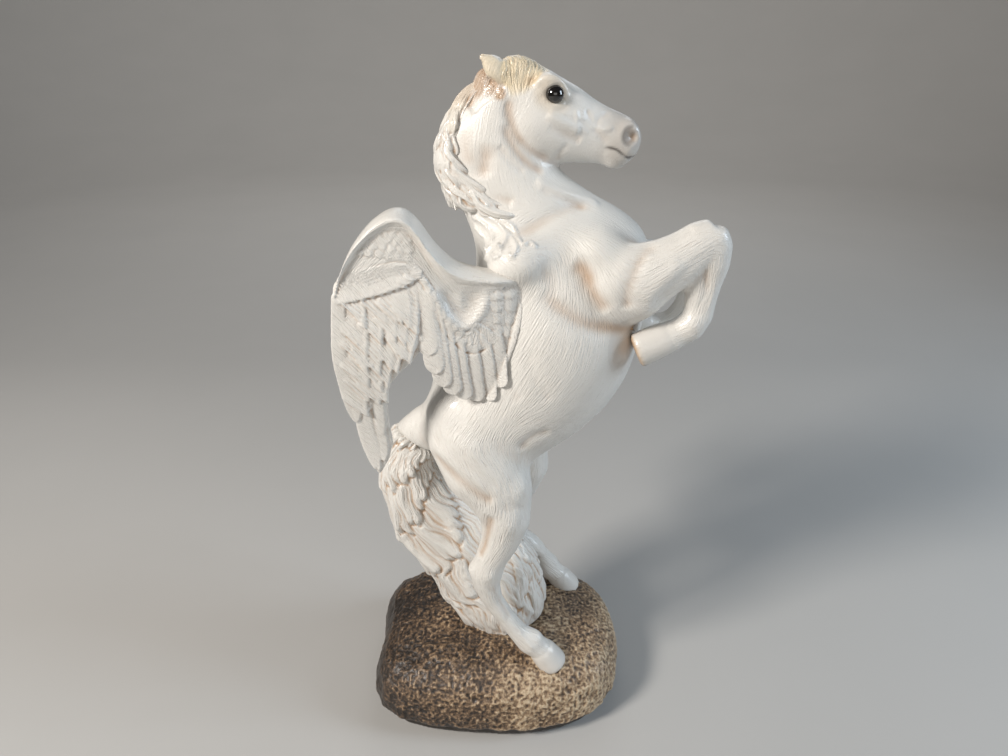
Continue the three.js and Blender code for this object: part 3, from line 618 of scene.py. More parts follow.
# Legs from the body to the fetlock, right and left side point for point: x, y, z.
RIGHT_HIND = [
    (-8, -18.5, 152), (-3, -22, 138), (3, -24.5, 126.5), (4.7, -26, 115.5), (2.2, -26.5, 104.5),
    (-1.7, -27, 95.5), (-4.2, -27, 87.5), (-3.9, -27, 80), (-1.2, -27, 71.5), (4.5, -27, 61),
    (10.5, -27.5, 52), (18, -28, 46), (26, -28, 36),
]
LEFT_HIND = [
    (-4, 18.5, 151), (4, 21.5, 137), (12, 23, 123), (14.5, 23.5, 111), (11.5, 24, 99), (7.2, 24, 90),
    (5, 24, 81.5), (7, 24, 74.5), (12, 24, 67.5), (18.5, 24, 60), (24.5, 24.5, 53.5), (29.5, 24.5, 46),
    (38, 24.5, 36),
]
RIGHT_FORE = [
    (42, -19, 217), (53, -22, 223), (63, -23.5, 228.5), (70.5, -24, 233.5), (79, -24, 240),
    (80.2, -24, 230), (79.2, -24, 216.5), (77, -24, 208.5), (70.5, -24, 202.8), (59.5, -24, 197.6),
]
LEFT_FORE = [
    (42, 19, 213), (54, 21.5, 214.5), (66, 22.5, 216), (76, 23, 217), (89.5, 23, 218.5), (89.3, 23, 208),
    (84, 23, 195.5), (79.5, 23, 189), (73, 23, 187), (63, 23, 188.6),
]
HIND_SIZES = [21, 18, 14, 10, 8, 6.3, 6.4, 5.2, 4, 3.7, 4, 5, 6.5]
FORE_SIZES = [16, 13, 10, 8.5, 6, 5.8, 4, 4.7, 4.8, 6.8]
LEGS = [(RIGHT_HIND, HIND_SIZES), (LEFT_HIND, HIND_SIZES), (RIGHT_FORE, FORE_SIZES), (LEFT_FORE, FORE_SIZES)]
# Trunk, neck and head: x, y, z and how thick the horse is there.
TRUNK_SPOTS = [
    (-14, 0, 148, 18), (0, 0, 155, 28), (10, 0, 166, 32), (18, 0, 178, 34), (24, 0, 192, 35),
    (26, 0, 204, 35), (27, 0, 216, 33), (27, 0, 226, 30), (26, 0, 233, 26), (22, 0, 243, 20),
    (12, 0, 252, 17), (6, 0, 258, 14), (3, 0, 264, 13), (2, 0, 272, 12), (4, 0, 282, 10), (10, 0, 284, 10),
    (16, 0, 281, 10), (22, 0, 278, 9), (29, 0, 275, 7), (36, 0, 273, 5), (42, 0, 272, 4), (47, 0, 270, 3.5),
    (51, 0, 269, 2.5), (-1, 6, 296, 1.5), (-1, -6, 296, 1.5),
]

# Lines on the right side that are both pressed and painted.
MOUTH = [
    (39.6, -6.0, 269.1), (44.6, -6.6, 268.2), (47.6, -6.1, 266.3), (50.3, -4.8, 264.9), (53.4, -1.5, 264.6),
]
JAW = [
    (5.9, -7.7, 286.2), (5.4, -9.8, 281.3), (7.6, -9.9, 274.9), (11.5, -10.1, 270.1), (15.9, -8.8, 266.6),
    (20.4, -5.8, 264.9),
]
THROAT_CREASE = [(3.3, -10.6, 277.4), (7.2, -11, 269.4), (12.4, -10.7, 263.5), (18.6, -9.3, 259.9)]
NAPE_HOLLOW = [(-1.3, -11.2, 271), (-3.1, -11.5, 263.7), (-3.9, -12, 257.8)]
SHOULDER_CREASE = [
    (28.8, -26, 231.6), (33.1, -28.2, 228.7), (36, -28.3, 222.4), (39.5, -30.5, 217.7), (43.2, -30.5, 214),
]
GIRTH_CREASE = [
    (16.8, -28.9, 220.8), (27.3, -31.8, 213.6), (36.4, -31.1, 208.6), (46.9, -27, 205.8),
    (57.6, -13.7, 202.7),
]
ELBOW_CREASE = [
    (58.5, -23.8, 238.1), (53.1, -29.4, 233.5), (49.8, -32.2, 227.3), (48.5, -32.6, 220.3),
    (50, -31.3, 215.2),
]
THIGH_CREASE = [
    (-27, -22.4, 150.2), (-20, -29.1, 145.6), (-11.6, -33.7, 139.9), (-5.1, -35, 134.8),
    (0.7, -35.7, 132.3),
]
GASKIN_CREASE = [(-1, -34.9, 125.6), (-2.9, -31.8, 114.9), (-4.9, -30.1, 104.8), (-6.5, -29, 98)]
CANNON_CREASE = [(-3.1, -32.3, 85.2), (1.3, -29.7, 73.4), (6.8, -30, 61.4)]
# Modelled strokes on the right side: path, half width and depth (below zero raises a ridge).
HEAD_STROKES = [
    ([(14.6, -8.9, 289), (17, -9.7, 291.7), (21.1, -9.5, 292.1), (25.8, -8, 289.8), (27.2, -7.8, 287)],
     1.1, -0.75),
    ([(17.2, -9.9, 285.9), (21.3, -10.2, 283.4), (25.6, -8.8, 284.5)], 0.9, -0.6),
    ([(13, -8.5, 290), (16.2, -9, 293.9), (21.5, -8.7, 294.6), (27.5, -6.5, 291.6)], 0.8, 0.5),
    ([(16.5, -10, 283.4), (21.3, -10.2, 281), (26.4, -9, 282.2)], 0.8, 0.4),
    ([(19, -10.4, 280.6), (24.9, -10, 277.6), (31.5, -8.6, 274.6)], 1.6, -0.9),
    ([(19.5, -10.3, 276.6), (25.5, -9.6, 273.7), (32, -8.2, 271)], 1.6, 0.6),
    ([(29.1, -8.1, 281.6), (29.8, -8.6, 278), (28.3, -9, 274)], 0.75, -0.8),
    ([(32.7, -6.7, 281.3), (35.2, -6.7, 277.8), (37, -7, 273.4)], 0.9, 0.8),
    ([(34.5, -6.9, 276.5), (39.5, -6.8, 274.8), (43.5, -6.6, 275.5)], 0.8, -0.65),
    ([(42.6, -4, 280.2), (38, -6.2, 278.3), (38, -7, 273.8), (42.2, -6.5, 269.9)], 1.1, 0.5),
    (MOUTH, 0.65, 1.0), ([(24, -9.6, 281), (28.5, -8.8, 279.6), (33, -7.6, 278.2)], 0.7, -0.6),
    ([(25.5, -9.6, 278.2), (30, -8.8, 276.6), (34.2, -7.6, 273.6)], 0.7, -0.55),
    ([(40.5, -5.6, 266.8), (44.5, -5.4, 265), (48, -4.8, 263.4)], 0.9, -0.35), (JAW, 2.0, 1.0),
    ([(27.4, -8.6, 270.7), (24.5, -7.9, 267.7), (23.3, -5.3, 264.4)], 1.2, 0.45),
]
NECK_STROKES = [
    (THROAT_CREASE, 1.5, 0.85),
    ([(2.1, -11.5, 270.2), (5.5, -11.9, 265.4), (11.5, -12.1, 260.4)], 1.3, 0.6), (NAPE_HOLLOW, 3.6, 1.0),
    ([(15, -12.1, 257.9), (22.1, -11.7, 254.4), (31.2, -9.5, 251.3), (40.6, -6.4, 248)], 1.9, -0.9),
    ([(17, -12.4, 255), (25.7, -12, 251.2), (34.8, -10.8, 247.9)], 1.5, 0.7),
    ([(4, -21, 233), (8.1, -20.8, 237.3), (14.2, -19.2, 242.1), (22.1, -15.9, 245.7), (29.2, -13.5, 248.2),
      (38.8, -8.3, 247.9)], 3.2, 1.2),
    ([(-6, -14, 250), (0, -15, 252), (8, -15, 250.5)], 1.6, 0.6),
]
TRUNK_STROKES = [
    (SHOULDER_CREASE, 3.6, 1.0), (GIRTH_CREASE, 3.8, 1.3), (ELBOW_CREASE, 2.8, 0.9),
    ([(15, -27, 231), (20, -28, 226), (24, -30, 219)], 3.6, 0.6),
    ([(10.5, -30.5, 153), (13, -31.2, 158), (17, -31, 161.5), (23, -29, 163)], 2.6, 0.8),
    ([(2, -33, 197), (5, -34, 186), (10, -34.5, 177)], 3, 0.5),
    ([(12, -35, 200), (16, -35.5, 188), (22, -34.5, 178)], 3, 0.4),
]
# Hair at the back of a hind fetlock.
TUFTS = [
    [(9, -30.6, 55), (13, -31.6, 49), (17, -33, 43.4)],
    [(7.6, -28.8, 54), (11, -29.6, 48), (14.6, -30.6, 42.6)],
    [(11, -31.6, 55.4), (15, -33, 50), (19.6, -34.6, 44.4)],
]
HIND_STROKES = [
    (THIGH_CREASE, 3.2, 1.0),
    ([(-25, -22.3, 156.9), (-16.3, -31.5, 153), (-7.4, -34.2, 146.1), (0.7, -35.2, 137)], 3.0, 0.7),
    ([(0.7, -35.6, 129.2), (8.2, -34.5, 128.4), (14.2, -30, 127.1)], 3.0, 0.5), (GASKIN_CREASE, 2.5, 1.3),
    ([(5, -34.5, 122), (4, -32.8, 112), (0.5, -32, 103)], 2.2, -0.5), (CANNON_CREASE, 0.95, 0.65),
    ([(-6.5, -30.5, 84), (-3.4, -29.5, 72), (2.5, -29.6, 59.5)], 0.9, -0.35),
    *((tuft, 0.7, -0.9) for tuft in TUFTS),
]
FORE_STROKES = [
    ([(55.7, -28.8, 235.1), (64.5, -27, 240.1), (71.4, -26.3, 243.9)], 2.2, 0.5),
    ([(53.9, -32.3, 218.4), (60.7, -33, 226.7), (67, -31.7, 234.2)], 3.0, -0.6),
    ([(57, -32, 216), (64, -32, 224), (71, -31, 232), (75, -29.5, 236)], 2.0, 0.45),
    ([(76.6, -28.8, 230.7), (78.1, -27.7, 221.3), (75.7, -27.1, 213.7)], 1.0, 0.7),
    ([(80.8, -28.4, 231), (81, -27.6, 221), (79.5, -27.6, 213)], 0.9, -0.4),
]
# Soft bumps on the right side: centre, size and height (below zero is a hollow).
HEAD_SWELLS = [
    ((44.5, -2.5, 262.8), 3, 0.5), ((13.5, -9, 277), 7, 0.7), ((30, -4, 284.5), 5, 0.5),
    ((12.5, -7.5, 291.5), 3.2, -0.9),
]
TRUNK_SWELLS = [
    ((31, -27.7, 230.4), 6.5, -1.1), ((34.5, -28.8, 225), 5.5, -0.6), ((37.2, -26.5, 236), 7.5, 1.8),
    ((42, -31, 222), 7, 1.0), ((-9.7, -28.1, 163), 11, 1.8), ((20, -28, 238), 7, 0.8),
    ((10, -30, 228), 8, 1.6), ((0, -26, 228), 6, 1.2),
]
HIND_SWELLS = [
    ((11.5, -31, 136), 5, 1.3), ((6.5, -34.9, 120.4), 5.5, 0.9), ((-10.2, -27.4, 90.5), 2.8, 1.0),
    ((-2.5, -32.6, 90), 3, 0.7), ((20.5, -28.5, 50.5), 4, 1.3), ((-10, -35, 146), 9, 0.8),
]
FORE_SWELLS = [
    ((57.3, -30, 214.8), 5.5, 1.1), ((81.5, -28, 241.5), 3.6, 0.9), ((75.2, -28.4, 208.5), 3.2, 0.6),
]

# Creases that hold more of the wash and painted shade: path, half width and amount.
PAINTED = [
    (SHOULDER_CREASE, 2.6, 0.42), (GIRTH_CREASE, 2.6, 0.30), (ELBOW_CREASE, 2.0, 0.18),
    (THIGH_CREASE, 2.6, 0.28), (GASKIN_CREASE, 2.4, 0.35), (CANNON_CREASE, 1.6, 0.2),
    (THROAT_CREASE, 1.8, 0.25), (NAPE_HOLLOW, 3.0, 0.2),
    # A painted shadow on the neck beside the mane's front edge.
    ([(-7.5, -9.5, 283), (-10, -10, 276), (-10.5, -10.5, 269), (-8, -11.5, 262)], 2.6, 0.3),
    (JAW[:4], 1.8, 0.25),
]

# Which way the coat lies: a spot and a direction on the right side.
COAT = [
    ((50, -6, 272), (-1, 0, 0.25)), ((30, -8, 278), (-0.9, 0, 0.35)), ((14, -10, 276), (-0.5, 0, -0.9)),
    ((2, -11, 270), (-0.1, 0, -1)), ((12, -12, 258), (0.3, 0, -0.9)), ((28, -12, 251), (0.85, 0, -0.45)),
    ((-8, -12, 258), (0.3, 0, -1)), ((14, -20, 243), (0.7, 0, 0.5)), ((38, -26, 236), (0.7, 0, -0.7)),
    ((30, -28, 226), (0.1, 0, -1)), ((46, -31, 218), (0.6, 0, -0.8)), ((18, -30, 214), (-0.5, 0, -0.9)),
    ((36, -32, 200), (-0.25, 0, -1)), ((50, -22, 190), (-0.5, 0, -0.9)), ((10, -35, 192), (-0.5, 0, -0.85)),
    ((28, -34, 180), (-0.55, 0, -0.8)), ((0, -33, 176), (-0.4, 0, -0.9)), ((20, -32, 166), (-0.9, 0, -0.5)),
    ((-12, -30, 164), (-0.5, 0, -0.8)), ((-22, -26, 152), (0.7, 0, -0.7)),
    ((-4, -35, 146), (0.5, 0, -0.85)), ((8, -33, 136), (0.3, 0, -1)), ((2, -34, 120), (-0.2, 0, -1)),
    ((-3, -31, 100), (-0.45, 0, -0.9)), ((-4, -30, 84), (0.2, 0, -1)), ((4, -30, 64), (0.55, 0, -0.85)),
    ((14, -30, 52), (0.8, 0, -0.6)), ((60, -32, 224), (0.8, 0, 0.55)), ((72, -30, 236), (0.8, 0, 0.5)),
    ((80, -28, 228), (0, 0, -1)), ((78, -28, 214), (-0.2, 0, -1)), ((70, -28, 203), (-0.9, 0, -0.4)),
]

# Soft masses modelled on the castings: centre, half sizes, and tilt in degrees about the side-to-side axis.
PAIRED_FLESH = [((0.9, -7.2, 293.8), (5.8, 1.7, 3.0), 42), ((10.0, -18.0, 231.0), (13.5, 14.0, 10.0), -6)]
FLESH = [
    ((-2.4, 0, 291.0), (4.8, 6.0, 3.8), -35), ((74.4, -24.3, 226.2), (4.0, 3.6, 5.4), 10),
    ((76.4, -24.0, 219.0), (5.2, 4.4, 10.0), 8), ((82.0, 22.6, 210.4), (4.0, 3.6, 5.0), 10),
    ((84.2, 23.0, 203.0), (2.6, 3.2, 6.0), 20), ((17.5, 22.6, 64.0), (12.0, 5.2, 4.6), 45),
]
# Round places that are smoothed once more: centre and reach.
KNEADED = [((10.5, -7, 294.5), 10), ((10.5, 7, 294.5), 10), ((75.5, -24, 219), 13)]

# Hooves as coronet and toe: two on the boulder, then the two that are lifted.
HOOVES = [
    ((22.5, -28, 42.5), (27, -28, 35)), ((34, 24.5, 42.3), (38.5, 24.5, 35)),
    ((67.6, -24, 201.3), (59.5, -24, 197.6)), ((70, 23, 187.4), (63, 23, 188.6)),
]
HOOF_REACH = 4.5  # how much further than the casting the right fore hoof reaches towards the chest
HOOF_NEAR = 17  # distance from a toe within which the skin can be hoof
CORONET_NEAR = 11  # distance from a coronet within which the groove round it runs
NOSTRIL = (49.3, 6.2, 272.6)
# The nostril's curved edge in the side view.
NOSTRIL_EDGE = [(50.2, 276.0), (48.0, 275.4), (46.9, 272.9), (47.5, 270.7), (49.4, 269.2)]
# Under edge of an ear in the side view, and the line from its tip to its root.
EAR_EDGE = [(-4.4, 298), (-3.2, 292.6), (0.6, 290), (4.6, 289)]
EAR_LINE = [(-4, 298), (0.6, 294.6), (5.2, 293.4)]
EYE_SPOT = (21.4, 9.6, 287.6)
# Curls at the foot of the mane, in the side view.
CURLS = [
    [(-9, 244), (-4, 242.5), (0, 238), (-2.5, 234.5), (-4, 236.5)],
    [(-8, 241), (-5, 238.5), (-2.4, 234), (-4, 231), (-6, 233)],
    [(-6, 246), (1, 244), (5, 240), (3, 236.5), (1.5, 238)],
    [(0, 246), (7, 242.5), (10, 238.5), (13, 239), (16, 237)],
    [(-1, 241), (2.4, 237), (1, 233.6), (-0.6, 235)], [(5, 242), (8.4, 238), (7, 234.8), (5.4, 236)],
]
# Forelock strands on the right side, from the one by the ear to the one at the brow.
FORELOCK = [
    [(2, 0, 298.5), (4, -5.4, 297.4), (4.8, -9, 292), (8, -10.6, 285.4)],
    [(4, 0, 299.4), (7.4, -5.2, 298), (7.8, -9, 292.5), (9.2, -10.6, 285.8)],
    [(6, 0, 300), (10.4, -4.8, 298), (10.6, -8.6, 292.5), (10.4, -10.4, 286.6)],
    [(9, 0, 300), (13.4, -4.4, 297.2), (13.4, -8, 293.4), (12, -9.8, 288.4)],
    [(12, 0, 299), (16.6, -3, 296), (16, -6.6, 293.6), (14, -8.8, 290.6)],
    [(15, 0, 297.6), (18.4, -1.8, 295.6), (18.4, -4.4, 294.2), (17, -6.6, 292.8)],
]
FORELOCK_STRANDS = 26
# Brown places on the nape: centre and reach.
NAPE = [
    ((-3, -3, 293.5), 6.5), ((-6.5, -4, 289.5), 6.5), ((-10, -3, 285), 5.5), ((-1, -8, 289.5), 4),
    ((2.5, -9, 287), 3),
]
# Strokes on the nape, on the crest and beside the ear: start, end, and how far the middle bows out.
NAPE_STROKES = [((-1.5, -2.0, 295.5), (-11.5, -1.5, 284), (-3.4, -0.6, 3.2)),
                ((3.6, -9.8, 287), (-9, -8.5, 281.5), (-0.6, -0.8, 1.6))]

# Fades along x and z on the horse, each from 0 at the first value to 1 at the second.
HEAD_X, MUZZLE_X, FACE_X, CREST_X = (60, 56), (36, 46), (8, 20), (8, 0)
# LOWER_Z: where more tan is painted towards the bottom, as warm light reflected from below.
MUZZLE_Z, FACE_Z, NECK_Z, LOWER_Z, LEGS_Z = (258, 262), (262, 268), (238, 252), (210, 60), (190, 150)
CREST_Z = [(246, 252), (286, 280)]


# The horse's skin: modelling

def carried(points, right, left):
    """Points on a right leg carried over to the left one, which stands differently."""
    right, left = np.array(right, float), np.array(left, float)
    shift = left - mirror(right)
    moved = []
    for p in np.asarray(points, float).reshape(-1, 3):
        near = 1 / (np.sum((right - p) ** 2, axis=1) + 4) ** 1.5
        moved.append(mirror(p) + (near[:, None] * shift).sum(0) / near.sum())
    return np.reshape(moved, np.shape(points))


def carried_hind(points):
    return carried(points, RIGHT_HIND, LEFT_HIND)


def carried_fore(points):
    return carried(points, RIGHT_FORE, LEFT_FORE)


def both_sides(tables):
    """Rows of tables for the right side, each followed by its counterpart on the left."""
    for table, to_left in tables:
        for place, *rest in table:
            yield place, *rest
            yield to_left(place), *rest


STROKES = [(HEAD_STROKES + NECK_STROKES + TRUNK_STROKES, mirror), (HIND_STROKES, carried_hind),
           (FORE_STROKES, carried_fore)]
SWELLS = [(HEAD_SWELLS + TRUNK_SWELLS, mirror), (HIND_SWELLS, carried_hind), (FORE_SWELLS, carried_fore)]


def coat_flow(clay, normal):
    """The way the coat lies at each vertex, along the skin."""
    total = np.zeros_like(clay.co)
    for to_side in (np.asarray, mirror):
        for spot, way in COAT:
            near = 1 / (np.sum((clay.co - to_side(spot)) ** 2, axis=1) + 12) ** 2
            total += near[:, None] * unit(way)
    return unit(total - (total * normal).sum(1)[:, None] * normal)


def add_flesh(bm):
    for centre, half, tilt in [*FLESH, *both_sides([(PAIRED_FLESH, mirror)])]:
        spot = Matrix.Translation(Vector(centre) * MM)
        turn = Matrix.Rotation(math.radians(tilt), 4, "Y")
        size = Matrix.Diagonal((*half, 1))
        bmesh.ops.create_icosphere(bm, subdivisions=4, radius=MM, matrix=spot @ turn @ size)
    return bm


def limb_sizes(clay):
    """How thick the horse is round each vertex."""
    spots = list(TRUNK_SPOTS)
    for leg, sizes in LEGS:
        spots += [(*p, r) for p, r in zip(leg, sizes)]
    best = np.full(len(clay.co), FAR)
    size = np.zeros(len(clay.co))
    for *spot, reach in spots:
        gap = clay.gaps(spot) - reach
        closer = gap < best
        best[closer] = gap[closer]
        size[closer] = reach
    return clay.settle(size, 30)


def on_skin(clay, path, side):
    """Points in the side view as places on one side's skin."""
    half = np.flatnonzero(clay.co[:, 1] * side > 0)
    x, y, z = clay.co[half].T
    outer = 0.4 * side * y
    found = [np.argmin((x - px) ** 2 + (z - pz) ** 2 - outer) for px, pz in path]
    return clay.co[half[found]]


def hoof_share(clay):
    """1 on the hooves, 0 above the coronet."""
    share = np.zeros(len(clay.co))
    for coronet, toe in HOOVES:
        run = (clay.co - coronet) @ unit(np.subtract(toe, coronet))
        share = np.maximum(share, (clay.gaps(toe) < HOOF_NEAR) * smoothstep(-0.4, 0.4, run))
    return share


def sole_share(clay, normal):
    """1 on the soles of the lifted hooves."""
    share = np.zeros(len(clay.co))
    for coronet, toe in HOOVES[2:]:
        along = unit(np.subtract(toe, coronet))
        near = smoothstep(13, 11, clay.gaps(toe)) * smoothstep(-1.5, -0.5, (clay.co - toe) @ along)
        share = np.maximum(share, near * smoothstep(0.45, 0.75, normal @ along))
    return clay.settle(share, 3)


def stretch_hoof(clay):
    coronet, toe = HOOVES[2]
    along = unit(np.subtract(toe, coronet))
    run = (clay.co - coronet) @ along
    off = np.linalg.norm(clay.co - coronet - run[:, None] * along, axis=1)
    clay.push(HOOF_REACH * smoothstep(-3, 9, run) * (off < 9) * (run < 10.5), along)


def knead_body(clay):
    """Evens out the castings' facets, thick parts more than thin ones, and gives the thickness lost back."""
    size = limb_sizes(clay)
    clay.smooth(np.clip((size / THICK) ** 1.4, 0.04, 1), SKIN_ROUNDS)
    x, _, z = clay.co.T
    crest = smoothstep(*CREST_Z[0], z) * smoothstep(*CREST_X, x) * smoothstep(*CREST_Z[1], z)
    clay.smooth(crest, CREST_ROUNDS)
    for centre, reach in KNEADED:
        clay.smooth(smoothstep(reach, 0.5 * reach, clay.gaps(centre)), KNEAD_ROUNDS)
    stretch_hoof(clay)
    normal = clay.normals()
    clay.push(np.clip(THICK / size, 0, 3.2) * LOST, normal)
    return normal


def press_body(clay, normal):
    """Muscles, bones, veins, nostrils, ears and coronets."""
    for path, width, depth in both_sides(STROKES):
        clay.groove(path, width, depth, normal)
    for centre, reach, height in both_sides(SWELLS):
        clay.swell(centre, reach, height, normal)
    for side in (-1, 1):
        gap = clay.gaps(np.multiply(NOSTRIL, (1, side, 1)), (1.05, 0.7, 0.72))
        clay.push(-1.5 * np.exp(-((gap / 2.3) ** 3)), normal)
        clay.groove(on_skin(clay, EAR_EDGE, side), width=0.9, depth=0.9, normal=normal)
    for coronet, toe in HOOVES:
        clay.band(coronet, np.subtract(toe, coronet), CORONET_NEAR, width=0.8, depth=0.22, normal=normal)
    clay.smooth(0.5, 2)


def comb_forelock(clay, flip, normal, cream):
    """Strands from the poll to the cheek, and the tint that they have."""
    paths = np.array(FORELOCK, float) * (1, flip, 1)
    strands = spline(paths.reshape(len(paths), -1), FORELOCK_STRANDS).reshape(FORELOCK_STRANDS, -1, 3)
    for number, strand in enumerate(strands):
        index, gap, share = clay.near_path(strand, 5)
        cream[index] = np.maximum(cream[index], smoothstep(2.2, 0.9, gap) * smoothstep(1.0, 0.8, share))
        strand = clay.nearest(spline(strand, 9))
        way = unit(np.gradient(spline(strand, 41), axis=0))[(share * 40).astype(int)]
        clay.flow[index] += (np.exp(-((gap / 1.2) ** 2)) * 3)[:, None] * way
        clay.groove(strand, 0.5, 0.42 if number % 2 else -0.38, normal)


def comb_nape(clay, flip, normal):
    """Strokes that fan out over the nape, from the crest to the ear."""
    crest, ear = (np.array(stroke, float) for stroke in NAPE_STROKES)
    for order in np.linspace(0, 1, 12):
        first, last, bow = crest * (1 - order) + ear * order
        path = spline([first, (first + last) / 2 + bow, last], 8) * (1, flip, 1)
        clay.groove(clay.nearest(path), width=0.62, depth=0.75, normal=normal)


def comb_head(clay):
    """Forelock, nape hair and withers curls, modelled on the skin. Gives the tint and the brown wash."""
    cream, brown = np.zeros(len(clay.co)), np.zeros(len(clay.co))
    for flip in (1, -1):
        normal = clay.normals()
        comb_forelock(clay, flip, normal, cream)
        for spot, reach in NAPE:
            gap = clay.gaps(np.multiply(spot, (1, flip, 1)))
            brown = np.maximum(brown, smoothstep(reach, 0.4 * reach, gap))
        comb_nape(clay, flip, normal)
        for path in CURLS:
            clay.groove(on_skin(clay, path, -flip), width=0.8, depth=-1.1, normal=normal)
    clay.flow = unit(clay.flow + brown[:, None] * 2 * unit((-0.55, 0, -0.8)))
    return cream, brown


def face_paint(clay):
    """Where the nostrils, the lines of mouth and nostrils, the lids and the ears are."""
    nostril, lines, lids, ear = np.zeros((4, len(clay.co)))
    edge = mirror(on_skin(clay, NOSTRIL_EDGE, 1))
    for side, to_side in ((-1, np.asarray), (1, mirror)):
        gap = clay.gaps(np.multiply(NOSTRIL, (1, side, 1)), (1.0, 0.6, 0.8))
        nostril = np.maximum(nostril, smoothstep(3.2, 1.6, gap))
        lids = np.maximum(lids, smoothstep(9.5, 4.0, clay.gaps(np.multiply(EYE_SPOT, (1, side, 1)))))
        for path, amount in ((MOUTH, 0.95), (edge, 0.3)):
            lines = np.maximum(lines, amount * clay.stripe(to_side(path), 0.3, 1.0))
        ear = np.maximum(ear, clay.stripe(on_skin(clay, EAR_LINE, side), 3.2, 4.2))
    return nostril, lines, lids, ear


def paint_body(clay):
    """The skin's tints, its wash with painted shade and a warm painted light low down, and its engraving. The
    head's hair is combed on the way.
    """
    x, _, z = clay.co.copy().T
    hoof = hoof_share(clay)
    muzzle = smoothstep(*MUZZLE_X, x) * smoothstep(*MUZZLE_Z, z) * smoothstep(*HEAD_X, x)
    face = smoothstep(*FACE_Z, z) * smoothstep(*FACE_X, x) * smoothstep(*HEAD_X, x)
    fine, broad = clay.recess(5, 40)
    clay.flow = coat_flow(clay, clay.normals())
    coat = (1 - hoof) * (1 - 0.75 * face) * (1 - 0.5 * smoothstep(*NECK_Z, z))
    coat *= 1 + 0.5 * smoothstep(*LEGS_Z, z)
    # Wash and painted shade in the recesses, with a little more towards the bottom as painted warm light
    # reflected from below.
    recess = np.clip(1.7 * fine + 0.55 * broad - 0.03 + 0.10 * smoothstep(*LOWER_Z, z), 0, 0.8)
    recess = clay.settle(recess, 4)
    nostril, lines, lids, ear = face_paint(clay)
    cream, brown = comb_head(clay)
    brown *= 1 - ear
    for path, width, amount in both_sides([(PAINTED, mirror)]):
        index, gap, share = clay.near_path(path, 3 * width)
        recess[index] += amount * faded_ends(share, 0.2) * np.exp(-((gap / width) ** 2))
    sole = sole_share(clay, clay.normals())
    clay.values["coat"] = coat + 0.9 * cream + 1.6 * brown
    clay.values["recess"] = np.clip(recess + 0.8 * brown + 0.12 * lids + 0.9 * sole, 0, MOST_WASH_AND_SHADE)
    clay.values["grey"] = np.clip(0.5 * muzzle + 0.42 * nostril + 0.16 * hoof, 0, 1)
    clay.values["dark"] = np.clip(lines + 0.12 * nostril, 0, 0.9)
    clay.values["cream"] = np.clip(0.6 * ear + 0.75 * cream + 0.3 * lids + 0.6 * sole, 0, 0.85)


def sculpt_body():
    clay = Clay(even_skin(add_flesh(grown_copies(BODY, CLOSED_GAP)), BODY_VOXEL))
    press_body(clay, knead_body(clay))
    paint_body(clay)
    clay.write()
    return clay


def tree_of(name):
    mesh = nodes[name].data
    return BVHTree.FromPolygons([v.co for v in mesh.vertices], [tuple(p.vertices) for p in mesh.polygons])


def casting_numbers(mesh):
    """Which of the body's castings each face belongs to: the torso unless another one is nearer."""
    middles = vectors(mesh.polygons, "center")
    owner = np.zeros(len(middles), int)
    trees = [tree_of(name) for name in BODY]
    for number, name in enumerate(BODY[1:], 1):
        low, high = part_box(name)
        low, high = np.array(low) - JOINT_REACH * MM, np.array(high) + JOINT_REACH * MM
        inside = np.all((middles > low) & (middles < high), axis=1)
        for i in np.flatnonzero(inside & (owner == 0)):
            spot = Vector(middles[i])
            if trees[number].find_nearest(spot)[3] < trees[0].find_nearest(spot)[3]:
                owner[i] = number
    return owner


def divide_body(clay):
    """The skin as the separate castings, each closed across its joint face, with the whole skin's shading."""
    mesh = clay.mesh
    owner = casting_numbers(mesh)
    lean = mesh.attributes.new("lean", "FLOAT_VECTOR", "POINT")
    lean.data.foreach_set("vector", clay.normals().astype(np.float32).ravel())
    for number, name in enumerate(BODY):
        bm = bmesh.new()
        bm.from_mesh(mesh)
        bm.faces.ensure_lookup_table()
        others = [bm.faces[i] for i in np.flatnonzero(owner != number)]
        bmesh.ops.delete(bm, geom=others, context="FACES")
        made = bmesh.ops.extrude_edge_only(bm, edges=[e for e in bm.edges if e.is_boundary])
        inward = bm.verts.layers.float_vector["lean"]
        for v in new_verts(made):
            v.co -= v[inward] * JOINT_WALL * MM
        bmesh.ops.holes_fill(bm, edges=[e for e in bm.edges if e.is_boundary], sides=0)
        part = thinned(new_mesh(name + "_skin", bm))
        finished(name + "_skin", part, RESIN, "resin", name)
        shading = unit(vectors(part.attributes["lean"].data, "vector"))
        part.normals_split_custom_set_from_vertices(shading.tolist())
        part.attributes.remove(part.attributes["lean"])
    bpy.data.meshes.remove(mesh)


# Sheets and tubes from grids

def piece_mesh():
    """An empty mesh whose vertices carry a tint and the way their hair or barbs lie."""
    bm = bmesh.new()
    return bm, {"cream": bm.verts.layers.float.new("cream"), "flow": bm.verts.layers.float_vector.new("flow")}


def grid_places(bm, across, along):
    """A flat grid's vertices with their column and row numbers."""
    made = bmesh.ops.create_grid(bm, x_segments=across - 1, y_segments=along - 1, size=1)["verts"]
    return [(v, round((v.co.x + 1) / 2 * (across - 1)), round((v.co.y + 1) / 2 * (along - 1))) for v in made]


